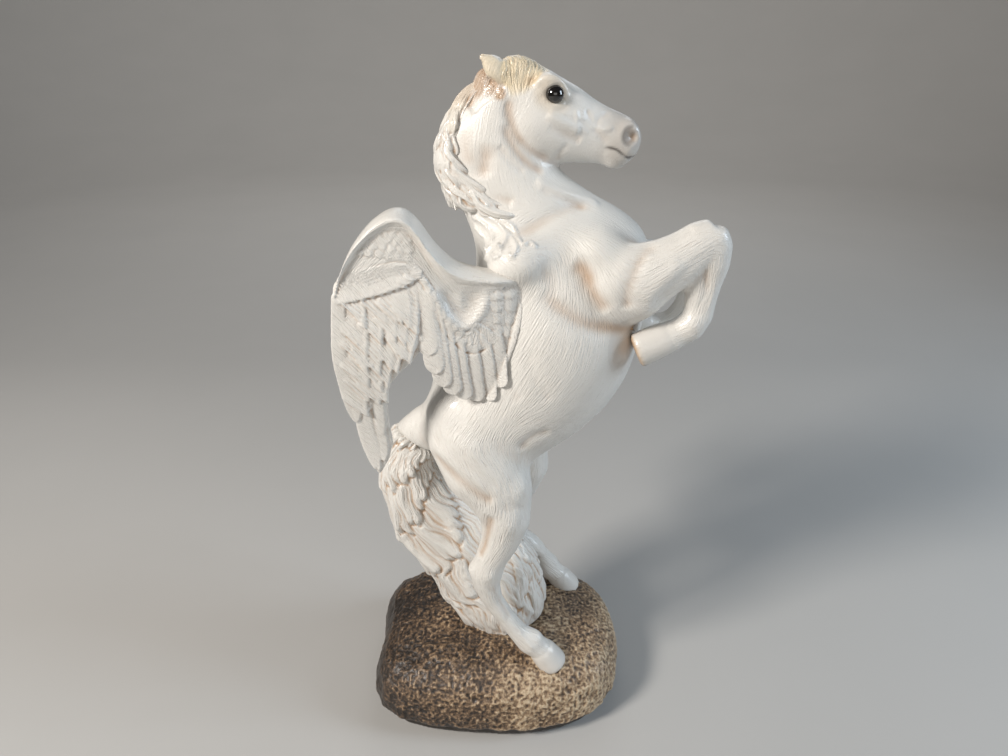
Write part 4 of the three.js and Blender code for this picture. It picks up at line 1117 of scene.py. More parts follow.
def rolled(bm, layers, rings, flow, cream=0.0):
    """A closed tube through rings: a grid rolled up, with its seam merged and its ends filled."""
    rows, sides = rings.shape[:2]
    verts = []
    for v, i, j in grid_places(bm, sides + 1, rows):
        v.co = Vector(rings[j, i % sides] * MM)
        v[layers["flow"]] = Vector(flow[j])
        v[layers["cream"]] = cream
        verts.append(v)
    bmesh.ops.remove_doubles(bm, verts=verts, dist=0.1 * MERGED)
    verts = [v for v in verts if v.is_valid]
    open_edges = {e for v in verts for e in v.link_edges if e.is_boundary}
    bmesh.ops.holes_fill(bm, edges=list(open_edges), sides=0)


def sheet(bm, layers, places, flow, thick):
    """A sheet through a grid of places, with a back wall behind its outer face."""
    along, across = places.shape[:2]
    verts = []
    for v, i, j in grid_places(bm, across, along):
        v.co = Vector(places[j, i] * MM)
        v[layers["flow"]] = Vector(flow[j, i])
        verts.append(v)
    faces = list({f for v in verts for f in v.link_faces})
    made = bmesh.ops.extrude_face_region(bm, geom=faces, use_keep_orig=True)
    bmesh.ops.translate(bm, verts=new_verts(made), vec=(0, thick * MM, 0))


def lock(bm, layers, path, out, radius, flat=0.6, strands=3, sides=14, rows=20, cream=0.0, root=0.5,
         carved=0.24):
    """A tapering lock of hair along a path, carved into strands."""
    p = spline(path, rows)
    tangent = unit(np.gradient(p, axis=0))
    lift = unit(spline(out, rows))
    lift = unit(lift - (lift * tangent).sum(1)[:, None] * tangent)
    side = np.cross(tangent, lift)
    t = np.linspace(0, 1, rows)
    swell = root + (1 - root) * np.sin(np.pi * np.clip(t / 0.75, 0, 1) / 2)
    swell = swell * np.sqrt(np.clip(1 - t**3, 0, 1)) + 0.04
    turn = np.linspace(0, 2 * np.pi, sides, endpoint=False)
    carve = 1 + carved * np.cos(2 * strands * turn[None, :] + rng.uniform(0, 6.28) + 2.0 * t[:, None])
    ring = np.cos(turn)[None, :, None] * side[:, None] + flat * np.sin(turn)[None, :, None] * lift[:, None]
    rings = p[:, None] + (radius * swell[:, None] * carve)[..., None] * ring
    rolled(bm, layers, rings, tangent, cream)


def cast(bm, voxel):
    """Everything in a bmesh fused into one skin, which keeps the tint and the combing."""
    bmesh.ops.recalc_face_normals(bm, faces=bm.faces)
    flow_layer, cream_layer = bm.verts.layers.float_vector["flow"], bm.verts.layers.float["cream"]
    flow = np.array([v[flow_layer] for v in bm.verts])
    cream = np.array([v[cream_layer] for v in bm.verts])
    tree = lookup([v.co.copy() for v in bm.verts])
    clay = Clay(even_skin(bm, voxel))
    nearest = np.array([tree.find(spot)[1] for spot in clay.co * MM])
    clay.smooth(1.0, 1)
    clay.flow = flow[nearest]
    clay.values["cream"] = clay.settle(cream[nearest], 2)
    clay.values["grey"] = np.zeros(len(clay.co))
    clay.values["dark"] = np.zeros(len(clay.co))
    return clay


def washed_and_shaded(clay, fine_share, broad_share, least, coat):
    """The warm wash that gathers in a carved skin's low places, with the shade there painted into it, and the
    depth of its engraving.
    """
    fine, broad = clay.recess(4, 24)
    recess = fine_share * np.maximum(fine - 0.02, 0) + broad_share * broad + least
    clay.values["recess"] = np.clip(recess, 0, MOST_WASH_AND_SHADE)
    clay.values["coat"] = np.full(len(clay.co), coat)


# Wings: tables in the right wing's side view, x and z in millimetres

WING_VOXEL = 0.39
# Wash and painted shade in the wing's carved recesses.
WING_WASH_AND_SHADE = {"fine_share": 3.4, "broad_share": 0.3, "least": 0.0, "coat": 1.3}
WING_ROOT_OUT = 31.5  # how far out from the middle the wing starts
WING_FLARE = 4  # how much further out its outer half stands
WING_TIP_TUCK = 8  # how much further in its tips end
ROOT_SINK = 4.5  # how far the wing sinks into the shoulder at its root
# Where these begin and where they are full, along x or z.
FLARE_X, TUCK_Z, SINK_X = (8, -35), (203, 145), (0, 18)
OUTSIDE = 100  # a distance from the middle that is well outside the horse
SHEET_THICK = 1.6
BARB_SLANT = 0.9
FEATHER_STEP = 0.45  # between the rows of a feather's grid
# How the far wing is turned from the near one's pose.
LEFT_WING_ROOT = np.array((12, WING_ROOT_OUT, 222.0))
LEFT_WING_SWEEP = math.radians(36)
LEFT_WING_FLARE = math.radians(11)
LEFT_WING_DROP = 6
# Fleshy part of the wing: leading ridge, lower edge, thickness.
WING_ARM = [
    ((21, 224), (18, 214), 3), ((13, 225.4), (11, 211.5), 6), ((3.6, 226.2), (2.8, 209), 9.5),
    ((-2.8, 226.9), (-1.5, 205.5), 11.5), ((-8, 227.6), (-6, 203), 12.5),
    ((-13.9, 229.9), (-11.5, 203), 13), ((-18.5, 233.8), (-15.5, 208), 13.5),
    ((-22.5, 239), (-18.8, 214.5), 13.5), ((-26.2, 245), (-22.5, 221.5), 13),
    ((-30.5, 249), (-27.5, 227), 12.5), ((-35.5, 249.2), (-33.5, 227.5), 11.5),
    ((-41, 246.2), (-40, 225), 10), ((-46, 241.6), (-46, 223), 8), ((-50.5, 235.8), (-51, 221.5), 6),
    ((-54, 229), (-55, 220), 4), ((-56.3, 222), (-56.8, 216), 2.4),
]
# Its cross-section: share of the way down, share of the thickness inward, and millimetres outward.
WING_SECTION = [
    (1.0, 0, 0.5), (0.8, 0, 0.6), (0.6, 0, 0.4), (0.42, 0, 0.2), (0.25, 0, 0.2), (0.12, 0, 0.9),
    (0.05, 0, 1.8), (0.0, 0, 1.9), (-0.045, 0.08, 1.2), (-0.085, 0.24, 0.5), (-0.10, 0.5, 0),
    (-0.08, 0.75, 0), (-0.01, 0.95, 0), (0.12, 1.0, 0), (0.35, 0.85, 0), (0.6, 0.5, 0), (0.82, 0.2, 0),
    (1.0, 0.06, -0.4),
]
# The wing's outer half: height, leading edge, trailing edge.
WING_SHEET = [
    (226, -55.6, -25.6), (222.5, -56.6, -25.6), (214.9, -58.1, -25.8), (207, -59, -26.4),
    (200, -59.6, -27.2), (196.2, -59.7, -29.8), (191.2, -59.5, -35), (186, -59.1, -39),
    (182.7, -58.8, -40.4), (177.9, -58.1, -41.4), (174.6, -57.4, -41.7), (167, -55.2, -42),
    (156.7, -53.1, -41.2), (148.2, -51.2, -43.4), (142.4, -49.3, -46.6), (140.8, -48.4, -47.8),
]
LEADING_VANE = [(-55.2, 222), (-56.7, 207), (-57.3, 197), (-56.6, 186), (-55.6, 174.6), (-54.4, 167)]
# Columns of short flight feathers: path, width and how far along it each feather ends.
PRIMARIES = [
    ([(-49.9, 222), (-50.4, 210.4), (-51.2, 200.4), (-52.2, 188.9), (-53.2, 178.7), (-53.4, 168)],
     7.0, [13, 21, 29, 37, 45, 53]),
    ([(-43.4, 222.6), (-43.9, 211.7), (-45, 201.8), (-46.9, 188.9), (-49, 175)],
     6.8, [12, 19, 26, 33, 40, 47]),
    ([(-37.4, 224), (-37.7, 213.6), (-39, 204.5), (-41.3, 194.8), (-44, 184.3), (-44.6, 176)],
     6.2, [11, 18, 25, 32, 39, 47]),
    ([(-32.9, 225), (-33.2, 213.6), (-35.2, 204.5), (-37.4, 196.3), (-39.4, 189.6)], 5.0, [14, 21, 28, 35]),
    ([(-29.8, 226), (-30, 214.8), (-30.9, 207.1), (-32.8, 200.8), (-34.2, 196)], 4.2, [17, 24, 31]),
]
# Long flight feathers with rounded or pointed ends: path, width.
BLADES = [
    ([(-27.6, 226), (-27.2, 214.7), (-28.2, 207), (-29.8, 200)], 3.4),
    ([(-25.8, 226), (-25.6, 214), (-26.6, 204.6)], 3.0),
    ([(-52.1, 190), (-53.4, 178.7), (-53.8, 168)], 4.2), ([(-48.2, 189), (-49, 180.3), (-49.6, 173)], 4.8),
    ([(-44.4, 183), (-45, 174), (-44.6, 161)], 4.6), ([(-53.6, 169), (-52.2, 156.7), (-49.3, 143.4)], 4.0),
    ([(-46.6, 169), (-45.4, 158), (-45.4, 147.5)], 4.8),
    ([(-50.4, 176), (-50.2, 165.3), (-49, 155.8), (-47.8, 142.6)], 4.4),
]
# Broad feathers that fan out under the chain of coverts: root, middle and tip.
SECONDARIES = [
    [(-26, 227), (-25, 213.7), (-23.7, 198.8)], [(-24.7, 222), (-23.3, 206.3), (-21.8, 190.5)],
    [(-22.2, 216.5), (-20.5, 200.5), (-19.2, 184.2)], [(-18.5, 209.5), (-17, 194.4), (-15.6, 180.2)],
    [(-14.2, 204), (-13.2, 190.6), (-11.2, 177.6)], [(-9.1, 201.5), (-8.1, 188.9), (-6.6, 176.3)],
    [(-4.2, 202), (-3, 188.5), (-2, 177)], [(0, 205), (1.4, 193.3), (1.8, 183.4)],
]
FIRST_HUGGING = 6  # the secondary from which on they follow the flank
COVERT_TOPS = [
    (-27.6, 233.8), (-23.7, 229.4), (-21.1, 225.1), (-19.2, 219.8), (-17.3, 215.1), (-14.6, 210.7),
    (-11, 207.7), (-7.4, 208.3), (-5.1, 210.6), (-1.4, 215.1),
]
COVERT_FEET = [
    (-29.6, 229.4), (-26.2, 227.6), (-23.5, 222.7), (-21.3, 216.8), (-18.9, 209), (-15.5, 204.4),
    (-11.2, 199.7), (-7.6, 198.2), (-3.1, 199.7), (-0.4, 202.6),
]
BAND_TOPS = [
    (-54.2, 226.4), (-51.9, 229.6), (-47.8, 232.3), (-43.6, 232.7), (-39.4, 233.4), (-35.2, 234.3),
    (-31, 234.2), (-28, 232.6),
]
BAND_FEET = [
    (-54.6, 219.2), (-52.6, 219.4), (-50, 219.9), (-45.2, 220.9), (-40.2, 222.2), (-35.8, 223.8),
    (-32.2, 225.4), (-28.8, 227.8),
]
# Small feathers on the flank, in three columns: path, width and how far along it each one ends.
TERTIALS = [
    ([(10.2, 224), (9.2, 212), (6.8, 201), (3.6, 191)], 3.2, [37]),
    ([(6.6, 224.6), (6.4, 213), (5.4, 203), (3.6, 194)], 5.0, [5.5, 10.5, 15.5, 20.5, 25.5, 31]),
    ([(1.6, 224), (1.6, 212), (2.0, 202), (2.6, 195)], 5.6, [5, 9.5, 14, 18.5, 23, 28]),
]
# Rows of small round feathers: first one, last one and their count.
PEBBLES = [
    ((-45.6, 238.6), (-29.6, 236.2), 6), ((-44, 241.2), (-28.4, 239), 6), ((-42, 243.6), (-29, 241.8), 5),
    ((-39.6, 245.4), (-31, 244.2), 4),
]
U_FOLD = [(-1.4, 225), (-3.4, 216), (-7.6, 210.4), (-11.8, 209.2), (-16.4, 213), (-19.6, 219.5), (-23, 226)]
U_HOLLOW = [(-7, 224), (-8.6, 217.6), (-11.6, 215), (-15, 218.5), (-18, 225)]

# How each kind of feather is modelled, in the words of feather().
VANE = {"width": 5.4, "lift": 0.9, "rise": -0.3, "barbs": 0, "thick": 1.8, "shaft": 0, "camber": 0.1,
        "blunt": 0.6, "base": 0.9}
BLADE = {"lift": 0.15, "rise": 0.7, "pitch": 1.2, "barbs": 0.13, "thick": 1.5, "shaft": 0.3, "rib": 0.7,
         "blunt": 0.55, "point": 0.7}
PLUME = {"barbs": 0.3, "tilt": 0.32, "thick": 1.6, "shaft": 0.22, "rib": 0.82, "blunt": 1.0, "camber": 0.15}
SECONDARY = {"width": 7.6, "lift": 0.5, "rise": 0.8, "pitch": 1.2, "barbs": 0.13, "tilt": 0.8, "thick": 2.8,
             "camber": 0.15, "shaft": 0.1, "rib": 0.5, "blunt": 0.78, "point": 0.6, "base": 0.8, "across": 15}
TERTIAL = {"lift": -0.5, "rise": 1.2, "barbs": 0.06, "thick": 2.2, "camber": 0.3, "shaft": 0.12,
           "blunt": 0.4, "base": 0.9, "hugging": True}
BAND = {"width": 5.2, "lift": -0.6, "rise": 2.1, "barbs": 0.05, "camber": 0.12, "thick": 1.8, "shaft": 0,
        "across": 9, "blunt": 0.8}
COVERT = {"lift": 0.5, "rise": 0.65, "barbs": 0.04, "camber": 0.12, "thick": 1.6, "shaft": 0, "across": 9,
          "blunt": 0.7, "base": 0.95}
PEBBLE = {"width": 2.9, "lift": 0.25, "rise": 0.3, "barbs": 0.03, "camber": 0.12, "across": 7, "thick": 1.4,
          "shaft": 0, "blunt": 0.5, "base": 0.8}
BAND_COUNT = 12
COVERT_COUNT = 14
PEBBLE_ENDS = [(0.2, 1.4), (-0.3, -1.8)]  # a pebble's root and tip, from its middle


# Wings: modelling

FLANK = tree_of("torso")


def wing_out(x, z):
    """How far out from the middle the wing's sheet stands."""
    return WING_ROOT_OUT + WING_FLARE * smoothstep(*FLARE_X, x) - WING_TIP_TUCK * smoothstep(*TUCK_Z, z)


def root_sink(x):
    """How far the wing's root lies inside the sheet, as a share of ROOT_SINK."""
    return smoothstep(*SINK_X, x)


def flank_out(x, z):
    """How far out the horse's right flank stands."""
    out = []
    for a, b in zip(x.ravel(), z.ravel()):
        hit = FLANK.ray_cast(Vector((a, -OUTSIDE, b)) * MM, Vector((0, 1, 0)))[0]
        out.append(-hit.y / MM if hit else 0.0)
    return np.reshape(out, x.shape)


def on_wing(path, lift):
    """Points in the wing's side view as places on its outer face."""
    x, z = np.asarray(path, float).T
    return np.stack([x, -(wing_out(x, z) + lift), z], axis=1)


def wing_arm(bm, layers):
    stations = spline([(*ridge, *low, thick) for ridge, low, thick in WING_ARM], 90)
    section = spline(WING_SECTION + WING_SECTION[:1], 57)[:-1]
    down, inward, outward = section.T
    rings = []
    for rx, rz, lx, lz, thick in stations:
        x = rx + (lx - rx) * down
        z = rz + (lz - rz) * down
        sunk = root_sink(x)
        out = wing_out(x, z) + outward * (1 - sunk) - ROOT_SINK * sunk - inward * thick
        rings.append(np.stack([x, -out, z], axis=1))
    along = unit(np.gradient(stations[:, :2], axis=0))
    flow = np.stack([along[:, 0], 0 * along[:, 0], along[:, 1]], axis=1)
    rolled(bm, layers, np.array(rings), flow)


def wing_sheet(bm, layers):
    """The plain sheet under the flight feathers, with the wing's clean edges."""
    height, lead, trail = np.array(WING_SHEET).T
    t, u = np.meshgrid(np.linspace(0, 1, 110), np.linspace(0, 1, 34), indexing="ij")
    z = np.interp(t, np.linspace(0, 1, len(height)), height)
    x = np.interp(-z, -height, lead) * (1 - u) + np.interp(-z, -height, trail) * u
    places = np.stack([x, -wing_out(x, z), z], axis=-1)
    sheet(bm, layers, places, np.broadcast_to((0.7, 0, -0.7), places.shape), SHEET_THICK)


def feather(bm, layers, path, width, lift, rise=0.5, thick=1.2, pitch=1.0, barbs=0.1, camber=0.25, tilt=0.0,
            slant=0.0, across=11, shaft=0.2, blunt=0.75, point=0.5, base=0.75, rib=0.0, hugging=False):
    """One feather: a vane with a raised shaft and slanting barbs, its tip rounded or cut slanting."""
    path = np.asarray(path, float)
    length = np.linalg.norm(np.diff(path, axis=0), axis=1).sum()
    along = max(7, int(length / FEATHER_STEP))
    line = spline(path, along)
    tangent = unit(np.gradient(line, axis=0))
    share = np.linspace(0, 1, along)
    t, s = np.meshgrid(share, np.linspace(-1, 1, across), indexing="ij")
    tip = np.clip(1 - (np.clip(t - blunt, 0, 1) / max(1 - blunt, 1e-6)) ** 2, 0, 1) ** point
    half = width / 2 * (base + (1 - base) * np.clip(t / 0.3, 0, 1)) * (0.04 + 0.96 * tip)
    u = t * (1 - slant * (1 - s) / 2)
    tx, tz = np.interp(u, share, tangent[:, 0]), np.interp(u, share, tangent[:, 1])
    x = np.interp(u, share, line[:, 0]) - tz * s * half
    z = np.interp(u, share, line[:, 1]) + tx * s * half
    run = (u * length - BARB_SLANT * s * half) / pitch
    vane = smoothstep(1.0, 0.8, np.abs(s)) * smoothstep(0.06, 0.2, np.abs(s - rib))
    high = lift + rise * t + camber * (1 - s * s) + tilt * s + shaft * np.exp(-(((s - rib) / 0.12) ** 2))
    high += barbs * vane * np.sin(2 * np.pi * run + 0.6 * np.sin(run))
    out = wing_out(x, z)
    if hugging:
        out = np.maximum(out - ROOT_SINK * root_sink(x), flank_out(x, z) + 0.4)
    flow = unit(np.stack([-tz + BARB_SLANT * tx, 0 * tx, tx + BARB_SLANT * tz], axis=-1))
    sheet(bm, layers, np.stack([x, -(out + high), z], axis=-1), flow, thick)


def part_of(path, start, end, count):
    """Points along a path between two distances from its start."""
    line = spline(path, 120)
    run = np.concatenate([[0], np.cumsum(np.linalg.norm(np.diff(line, axis=0), axis=1))])
    spots = np.linspace(start, min(end, run[-1]), count)
    return np.stack([np.interp(spots, run, line[:, 0]), np.interp(spots, run, line[:, 1])], axis=1)


def stack_of_plumes(bm, layers, path, width, tips):
    """Short feathers that overlap down a column like tiles, each cut slanting at its tip."""
    start = 0.0
    for tip in tips:
        tip += rng.uniform(-1.5, 1.5)
        line = part_of(path, start, tip, 5) + (rng.uniform(-0.8, 0.8), 0)
        slant = min(0.8, rng.uniform(1.0, 1.6) * width / (tip - start))
        feather(bm, layers, line, width * rng.uniform(1.3, 1.55), rng.uniform(-0.2, 0.1),
                rise=rng.uniform(1.4, 1.9), pitch=rng.uniform(1.4, 2.1), slant=slant, **PLUME)
        start = max(0.0, tip - rng.uniform(8, 11))


def chain_of_coverts(bm, layers):
    """Overlapping scales along the U-shaped band between the arm and the secondaries."""
    points = 2 * COVERT_COUNT + 3
    line = spline((np.array(COVERT_TOPS) + COVERT_FEET) / 2, points)
    wide = np.linalg.norm(spline(np.subtract(COVERT_TOPS, COVERT_FEET), points), axis=1)
    for k in range(0, 2 * COVERT_COUNT, 2):
        feather(bm, layers, line[k:k + 4], wide[k + 1] * 0.95, **COVERT)


def rows_of_pebbles(bm, layers):
    for first, last, count in PEBBLES:
        for k in range(count):
            spot = np.array(first) + (np.array(last) - first) * (k + rng.uniform(-0.15, 0.15)) / (count - 1)
            feather(bm, layers, spot + np.array(PEBBLE_ENDS), **PEBBLE)


def wing():
    bm, layers = piece_mesh()
    wing_arm(bm, layers)
    wing_sheet(bm, layers)
    feather(bm, layers, LEADING_VANE, **VANE)
    for path, width in BLADES:
        feather(bm, layers, path, width, **BLADE)
    for path, width, tips in PRIMARIES:
        stack_of_plumes(bm, layers, path, width, tips)
    for number, path in enumerate(SECONDARIES):
        feather(bm, layers, path, hugging=number >= FIRST_HUGGING, **SECONDARY)
    for path, width, tips in TERTIALS:
        for start, tip in zip([0, 0, *tips], tips):
            feather(bm, layers, part_of(path, start, tip, 4), width, **TERTIAL)
    for root, tip in zip(spline(BAND_TOPS, BAND_COUNT), spline(BAND_FEET, BAND_COUNT)):
        feather(bm, layers, [root, tip], **BAND)
    chain_of_coverts(bm, layers)
    rows_of_pebbles(bm, layers)
    return bm


def turned(x, y, z):
    """Vectors of a mirrored right wing turned to the far wing's pose."""
    x, z = (math.cos(LEFT_WING_SWEEP) * x - math.sin(LEFT_WING_SWEEP) * z,
            math.sin(LEFT_WING_SWEEP) * x + math.cos(LEFT_WING_SWEEP) * z)
    y, z = (math.cos(LEFT_WING_FLARE) * y - math.sin(LEFT_WING_FLARE) * z,
            math.sin(LEFT_WING_FLARE) * y + math.cos(LEFT_WING_FLARE) * z)
    return np.stack([x, y, z], axis=1)


def wings():
    clay = cast(wing(), WING_VOXEL)
    normal = clay.normals()
    clay.groove(on_wing(U_FOLD, 0.4), width=2.2, depth=-1.2, normal=normal)
    clay.groove(on_wing(U_HOLLOW, 0.4), width=3.4, depth=0.9, normal=normal)
    for line in (BAND_FEET, BAND_TOPS, COVERT_FEET, COVERT_TOPS):
        clay.groove(on_wing(spline(line, 16), 0.9), width=0.5, depth=0.4, normal=normal)
    clay.smooth(0.5, 1)
    washed_and_shaded(clay, **WING_WASH_AND_SHADE)
    clay.write()
    left = clay.mesh.copy()
    finished("right_wing_feathers", clay.mesh, RESIN, "resin", "right_wing")
    places = turned(*(mirror(clay.co) - LEFT_WING_ROOT).T) + LEFT_WING_ROOT - (0, 0, LEFT_WING_DROP)
    left.vertices.foreach_set("co", (places * MM).ravel())
    flow = turned(*mirror(clay.flow).T).astype(np.float32)
    left.attributes["flow"].data.foreach_set("vector", flow.ravel())
    left.flip_normals()
    finished("left_wing_feathers", left, RESIN, "resin", "left_wing")


# Mane

MANE_VOXEL = 0.36
# Wash and painted shade between the mane's locks.
MANE_WASH_AND_SHADE = {"fine_share": 4.4, "broad_share": 0.5, "least": 0.0, "coat": 1.3}
MANE_TOP_Z = (280, 286)  # where the browner hair at the poll begins, and where it is full
CREST_TURN = 30  # degrees from the crest within which the mane stands up
BED_TURN = (18, 42)  # degrees between which its locks come down from there on the skin
BED_DEPTH = 0.9  # how deep a lock lies in the skin
NECK_LOW_Z, NECK_FRONT_X = 236, 45  # limits of the skin that hair is laid on
LOCK_POINTS = 20
# The neck in the side view from the withers to the poll: crest, throat and half width.
NECK = [
    ((-12, 246), (48.5, 245.5), 17), ((-14.5, 253), (38, 250.5), 15), ((-16.5, 261), (29.5, 256), 13.4),
    ((-16, 269), (23.5, 260.8), 12.2), ((-13.5, 277), (18.5, 267.5), 11.4), ((-8.5, 285), (15, 274), 10.5),
    ((-2, 292), (13, 280), 9),
]
# Rows of mane locks down the neck: where a row starts, and how many locks it has on each side.
MANE_ROWS = [(0.09, 5), (0.17, 6), (0.26, 7), (0.36, 8), (0.46, 9), (0.56, 11), (0.66, 12), (0.76, 11)]
# How far round the neck's side the mane reaches, in degrees, down the neck.
MANE_REACH = [(0, 10), (0.15, 15), (0.3, 26), (0.5, 34), (0.7, 46), (0.85, 58), (1.0, 64)]


def on_neck(share, turn, side, lift):
    """A spot on the neck: share 0 at the poll to 1 at the withers, turn 0 on the crest, 90 on the side."""
    row = at_share([(*crest, *throat, half) for crest, throat, half in NECK[::-1]], share)
    crest, throat, half = row[..., 0:2], row[..., 2:4], row[..., 4]
    centre = (crest + throat) / 2
    deep = crest - centre
    a = np.radians(turn)
    reach = np.linalg.norm(deep, axis=-1)
    flat = centre + deep * ((np.cos(a) * (reach + lift)) / reach)[..., None]
    return np.stack([flat[..., 0], side * np.sin(a) * (half + lift), flat[..., 1]], axis=-1)


def neck_skin(clay):
    """The neck's skin to lay hair on: a lookup, its points and the ways out from them."""
    index = np.flatnonzero((clay.co[:, 2] > NECK_LOW_Z) & (clay.co[:, 0] < NECK_FRONT_X))
    return lookup(clay.co[index]), clay.co[index], clay.normals()[index]


def laid(skin, share, turn, side, lift):
    """A lock's path, free on the crest and close to the skin beside it, and the way out along it."""
    side = side * np.sign(turn + 1e-6)
    free = on_neck(share, np.abs(turn), side, lift)
    tree, spots, normal = skin
    found = [tree.find(spot)[1] for spot in free]
    close = spots[found] + (lift - BED_DEPTH)[:, None] * normal[found]
    path = free + smoothstep(*BED_TURN, np.abs(turn))[:, None] * (close - free)
    for _ in range(3):
        path[1:-1] = (path[:-2] + 2 * path[1:-1] + path[2:]) / 4
    return path, path - on_neck(share, np.abs(turn), side, lift - 4)


def crest_stand(start, turn):
    """How much the mane stands up on the crest, 1 at most."""
    return smoothstep(0.1, 0.4, start) * np.exp(-((turn / CREST_TURN) ** 2))


def mane_reach(share):
    """How far round the neck the mane reaches, in degrees."""
    return np.interp(share, *np.array(MANE_REACH).T)


def under_locks(bm, layers, skin):
    """Plain locks that close the mane underneath."""
    t = np.linspace(0, 1, LOCK_POINTS)
    for start in np.linspace(0.06, 0.78, 10):
        share = start + 0.2 * t
        for side in (-1, 1):
            for order in (0.1, 0.4, 0.7):
                turn = order * mane_reach(share)
                path, out = laid(skin, share, turn, side, -0.5 + 2.2 * crest_stand(start, turn))
                lock(bm, layers, path, out, 2.6, root=0.6)


def wavy_lock(bm, layers, skin, row, side, order):
    """One lock of a row; order is its place between the crest at 0 and the mane's lower edge at 1."""
    t = np.linspace(0, 1, LOCK_POINTS)
    start, _ = MANE_ROWS[row]
    length = min(rng.uniform(0.26, 0.36), 1.03 - start - 0.12 * rng.uniform(0, 1))
    share = start + rng.uniform(-0.03, 0.03) + length * (1 - (1 - t) ** (1 + start))
    wave = rng.uniform(4, 6.5) * np.sin(31 * share + 2.2 * order + 1.7 * row + rng.uniform(-0.5, 0.5))
    turn = order * mane_reach(share) * (0.8 + 0.3 * t) + wave * (0.35 + 0.65 * t)
    lift = 0.3 + 0.8 * np.exp(-((turn / CREST_TURN) ** 2)) + 2.0 * crest_stand(start, turn)
    lift = lift + rng.uniform(0.2, 2.5) * np.sin(np.pi * t) ** 0.8 - 0.5 * t
    path, out = laid(skin, share, turn, side, lift)
    tint = 0.3 * float(smoothstep(0.3, 0.1, start))
    lock(bm, layers, path, out, rng.uniform(1.2, 1.9), flat=0.9, strands=2, rows=30, cream=tint, root=0.35)


def mane(skin):
    """Wavy locks that lie side by side along the crest and sweep forward at the bottom."""
    bm, layers = piece_mesh()
    under_locks(bm, layers, skin)
    for row, (_, count) in enumerate(MANE_ROWS):
        for side in (-1, 1):
            for number in range(count):
                wavy_lock(bm, layers, skin, row, side, (number + rng.uniform(0.2, 0.8)) / count)
    clay = cast(bm, MANE_VOXEL)
    washed_and_shaded(clay, **MANE_WASH_AND_SHADE)
    top = smoothstep(*MANE_TOP_Z, clay.co[:, 2])
    clay.values["recess"] = np.clip(clay.values["recess"] + 0.34 * top, 0, MOST_WASH_AND_SHADE)
    clay.write()
    finished("mane_hair", clay.mesh, RESIN, "resin")


# Tail

TAIL_VOXEL = 0.5
# Wash and painted shade in the tail's grooves, with a little tan all over.
TAIL_WASH_AND_SHADE = {"fine_share": 4.2, "broad_share": 0.6, "least": 0.07, "coat": 1.5}
CORE_VOXEL = 1.2
CORE_ROUNDS = 14
CORE_GROWTH = 0.5
CROWN_HEIGHT = 37.2  # lowest place of a lock that runs out on the boulder
CLUMP_TURN = 26.0  # degrees of the tail's girth that a clump of hair takes
CLUMP_RUNS = 6.0  # clumps that follow each other down the tail
CLUMP_HEIGHT = 2.2
STRAND_HEIGHT = 0.16
PLACE_STEPS = 239  # steps in which a point's share of the way down the tail is found
LOOK_AHEAD = 0.004  # share of the tail over which its hair's direction is measured
# The tail in the side view from the dock to the boulder: middle, depth and width, both halved.
TAIL = [
    ((-27, 151), 10, 8), ((-36, 142), 11, 8), ((-40.5, 132), 12, 9), ((-40.5, 120), 13.5, 10.5),
    ((-34.6, 106.6), 17, 11.5), ((-25.5, 92.9), 20.5, 12), ((-14.1, 79.8), 24.5, 13),
    ((-5.2, 65.6), 24.5, 14), ((1.7, 50.1), 21.5, 15.5), ((6.5, 37), 19.5, 15),
]


def tail_rows(share):
    return at_share([(*spot, deep, wide) for spot, deep, wide in TAIL], share)


def on_tail(share, turn, lift):
    """A spot on the tail: share 0 at the dock to 1 on the boulder, turn 0 behind and -90 on the right."""
    row = tail_rows(share)
    along = unit((tail_rows(np.add(share, 0.01)) - tail_rows(np.subtract(share, 0.01)))[..., 0:2])
    back = np.stack([along[..., 1], -along[..., 0]], axis=-1)
    a = np.radians(turn)
    flat = row[..., 0:2] + back * (np.cos(a) * (row[..., 2] + lift))[..., None]
    return np.stack([flat[..., 0], np.sin(a) * (row[..., 3] + lift), flat[..., 1]], axis=-1)


def tail_places(co):
    """Where points lie on the tail: the share of the way down and the turn in degrees that on_tail takes."""
    row = tail_rows(np.linspace(0, 1, PLACE_STEPS + 1))
    flat = co[:, [0, 2]]
    best, number = np.full(len(co), FAR), np.zeros(len(co), int)
    for k, spot in enumerate(row[:, :2]):
        gap = ((flat - spot) ** 2).sum(1)
        closer = gap < best
        best[closer] = gap[closer]
        number[closer] = k
    along = unit(np.gradient(row[:, :2], axis=0))[number]
    near = row[number]
    behind = (flat[:, 0] - near[:, 0]) * along[:, 1] - (flat[:, 1] - near[:, 1]) * along[:, 0]
    return number / PLACE_STEPS, np.degrees(np.arctan2(co[:, 1] / near[:, 3], behind / near[:, 2]))


def clump_lean(share, turn):
    """How far the clumps sway sideways, in clump widths."""
    wide_sway = 0.20 * np.sin(24 * share + 0.9 * np.sin(np.radians(2 * turn)))
    return wide_sway + 0.07 * np.sin(58 * share + np.radians(3 * turn))


def flames(column, share):
    """Height of columns of clumps, each rising towards its pointed end, and the strands on them."""
    number = np.floor(column)
    across = 2 * (column - number) - 1
    run = CLUMP_RUNS * share + np.abs(np.modf(437.5 * np.sin(12.99 * number))[0])
    along = run - np.floor(run)
    half_width = 1.05 - 0.7 * along**2
    dome = np.clip(1 - (across / half_width) ** 2, 0, 1) ** 0.7
    height = CLUMP_HEIGHT * dome * (0.25 + 0.75 * along) * smoothstep(1.0, 0.82, along)
    return height + STRAND_HEIGHT * np.cos(3.5 * np.pi * across / half_width) * dome


def clumps(share, turn):
    """Height of the tail's hair: two sets of clumps, one showing between the other's points."""
    column = turn / CLUMP_TURN + clump_lean(share, turn)
    return np.maximum(flames(column, share), flames(column + 0.5, share + 0.37)) - 0.8


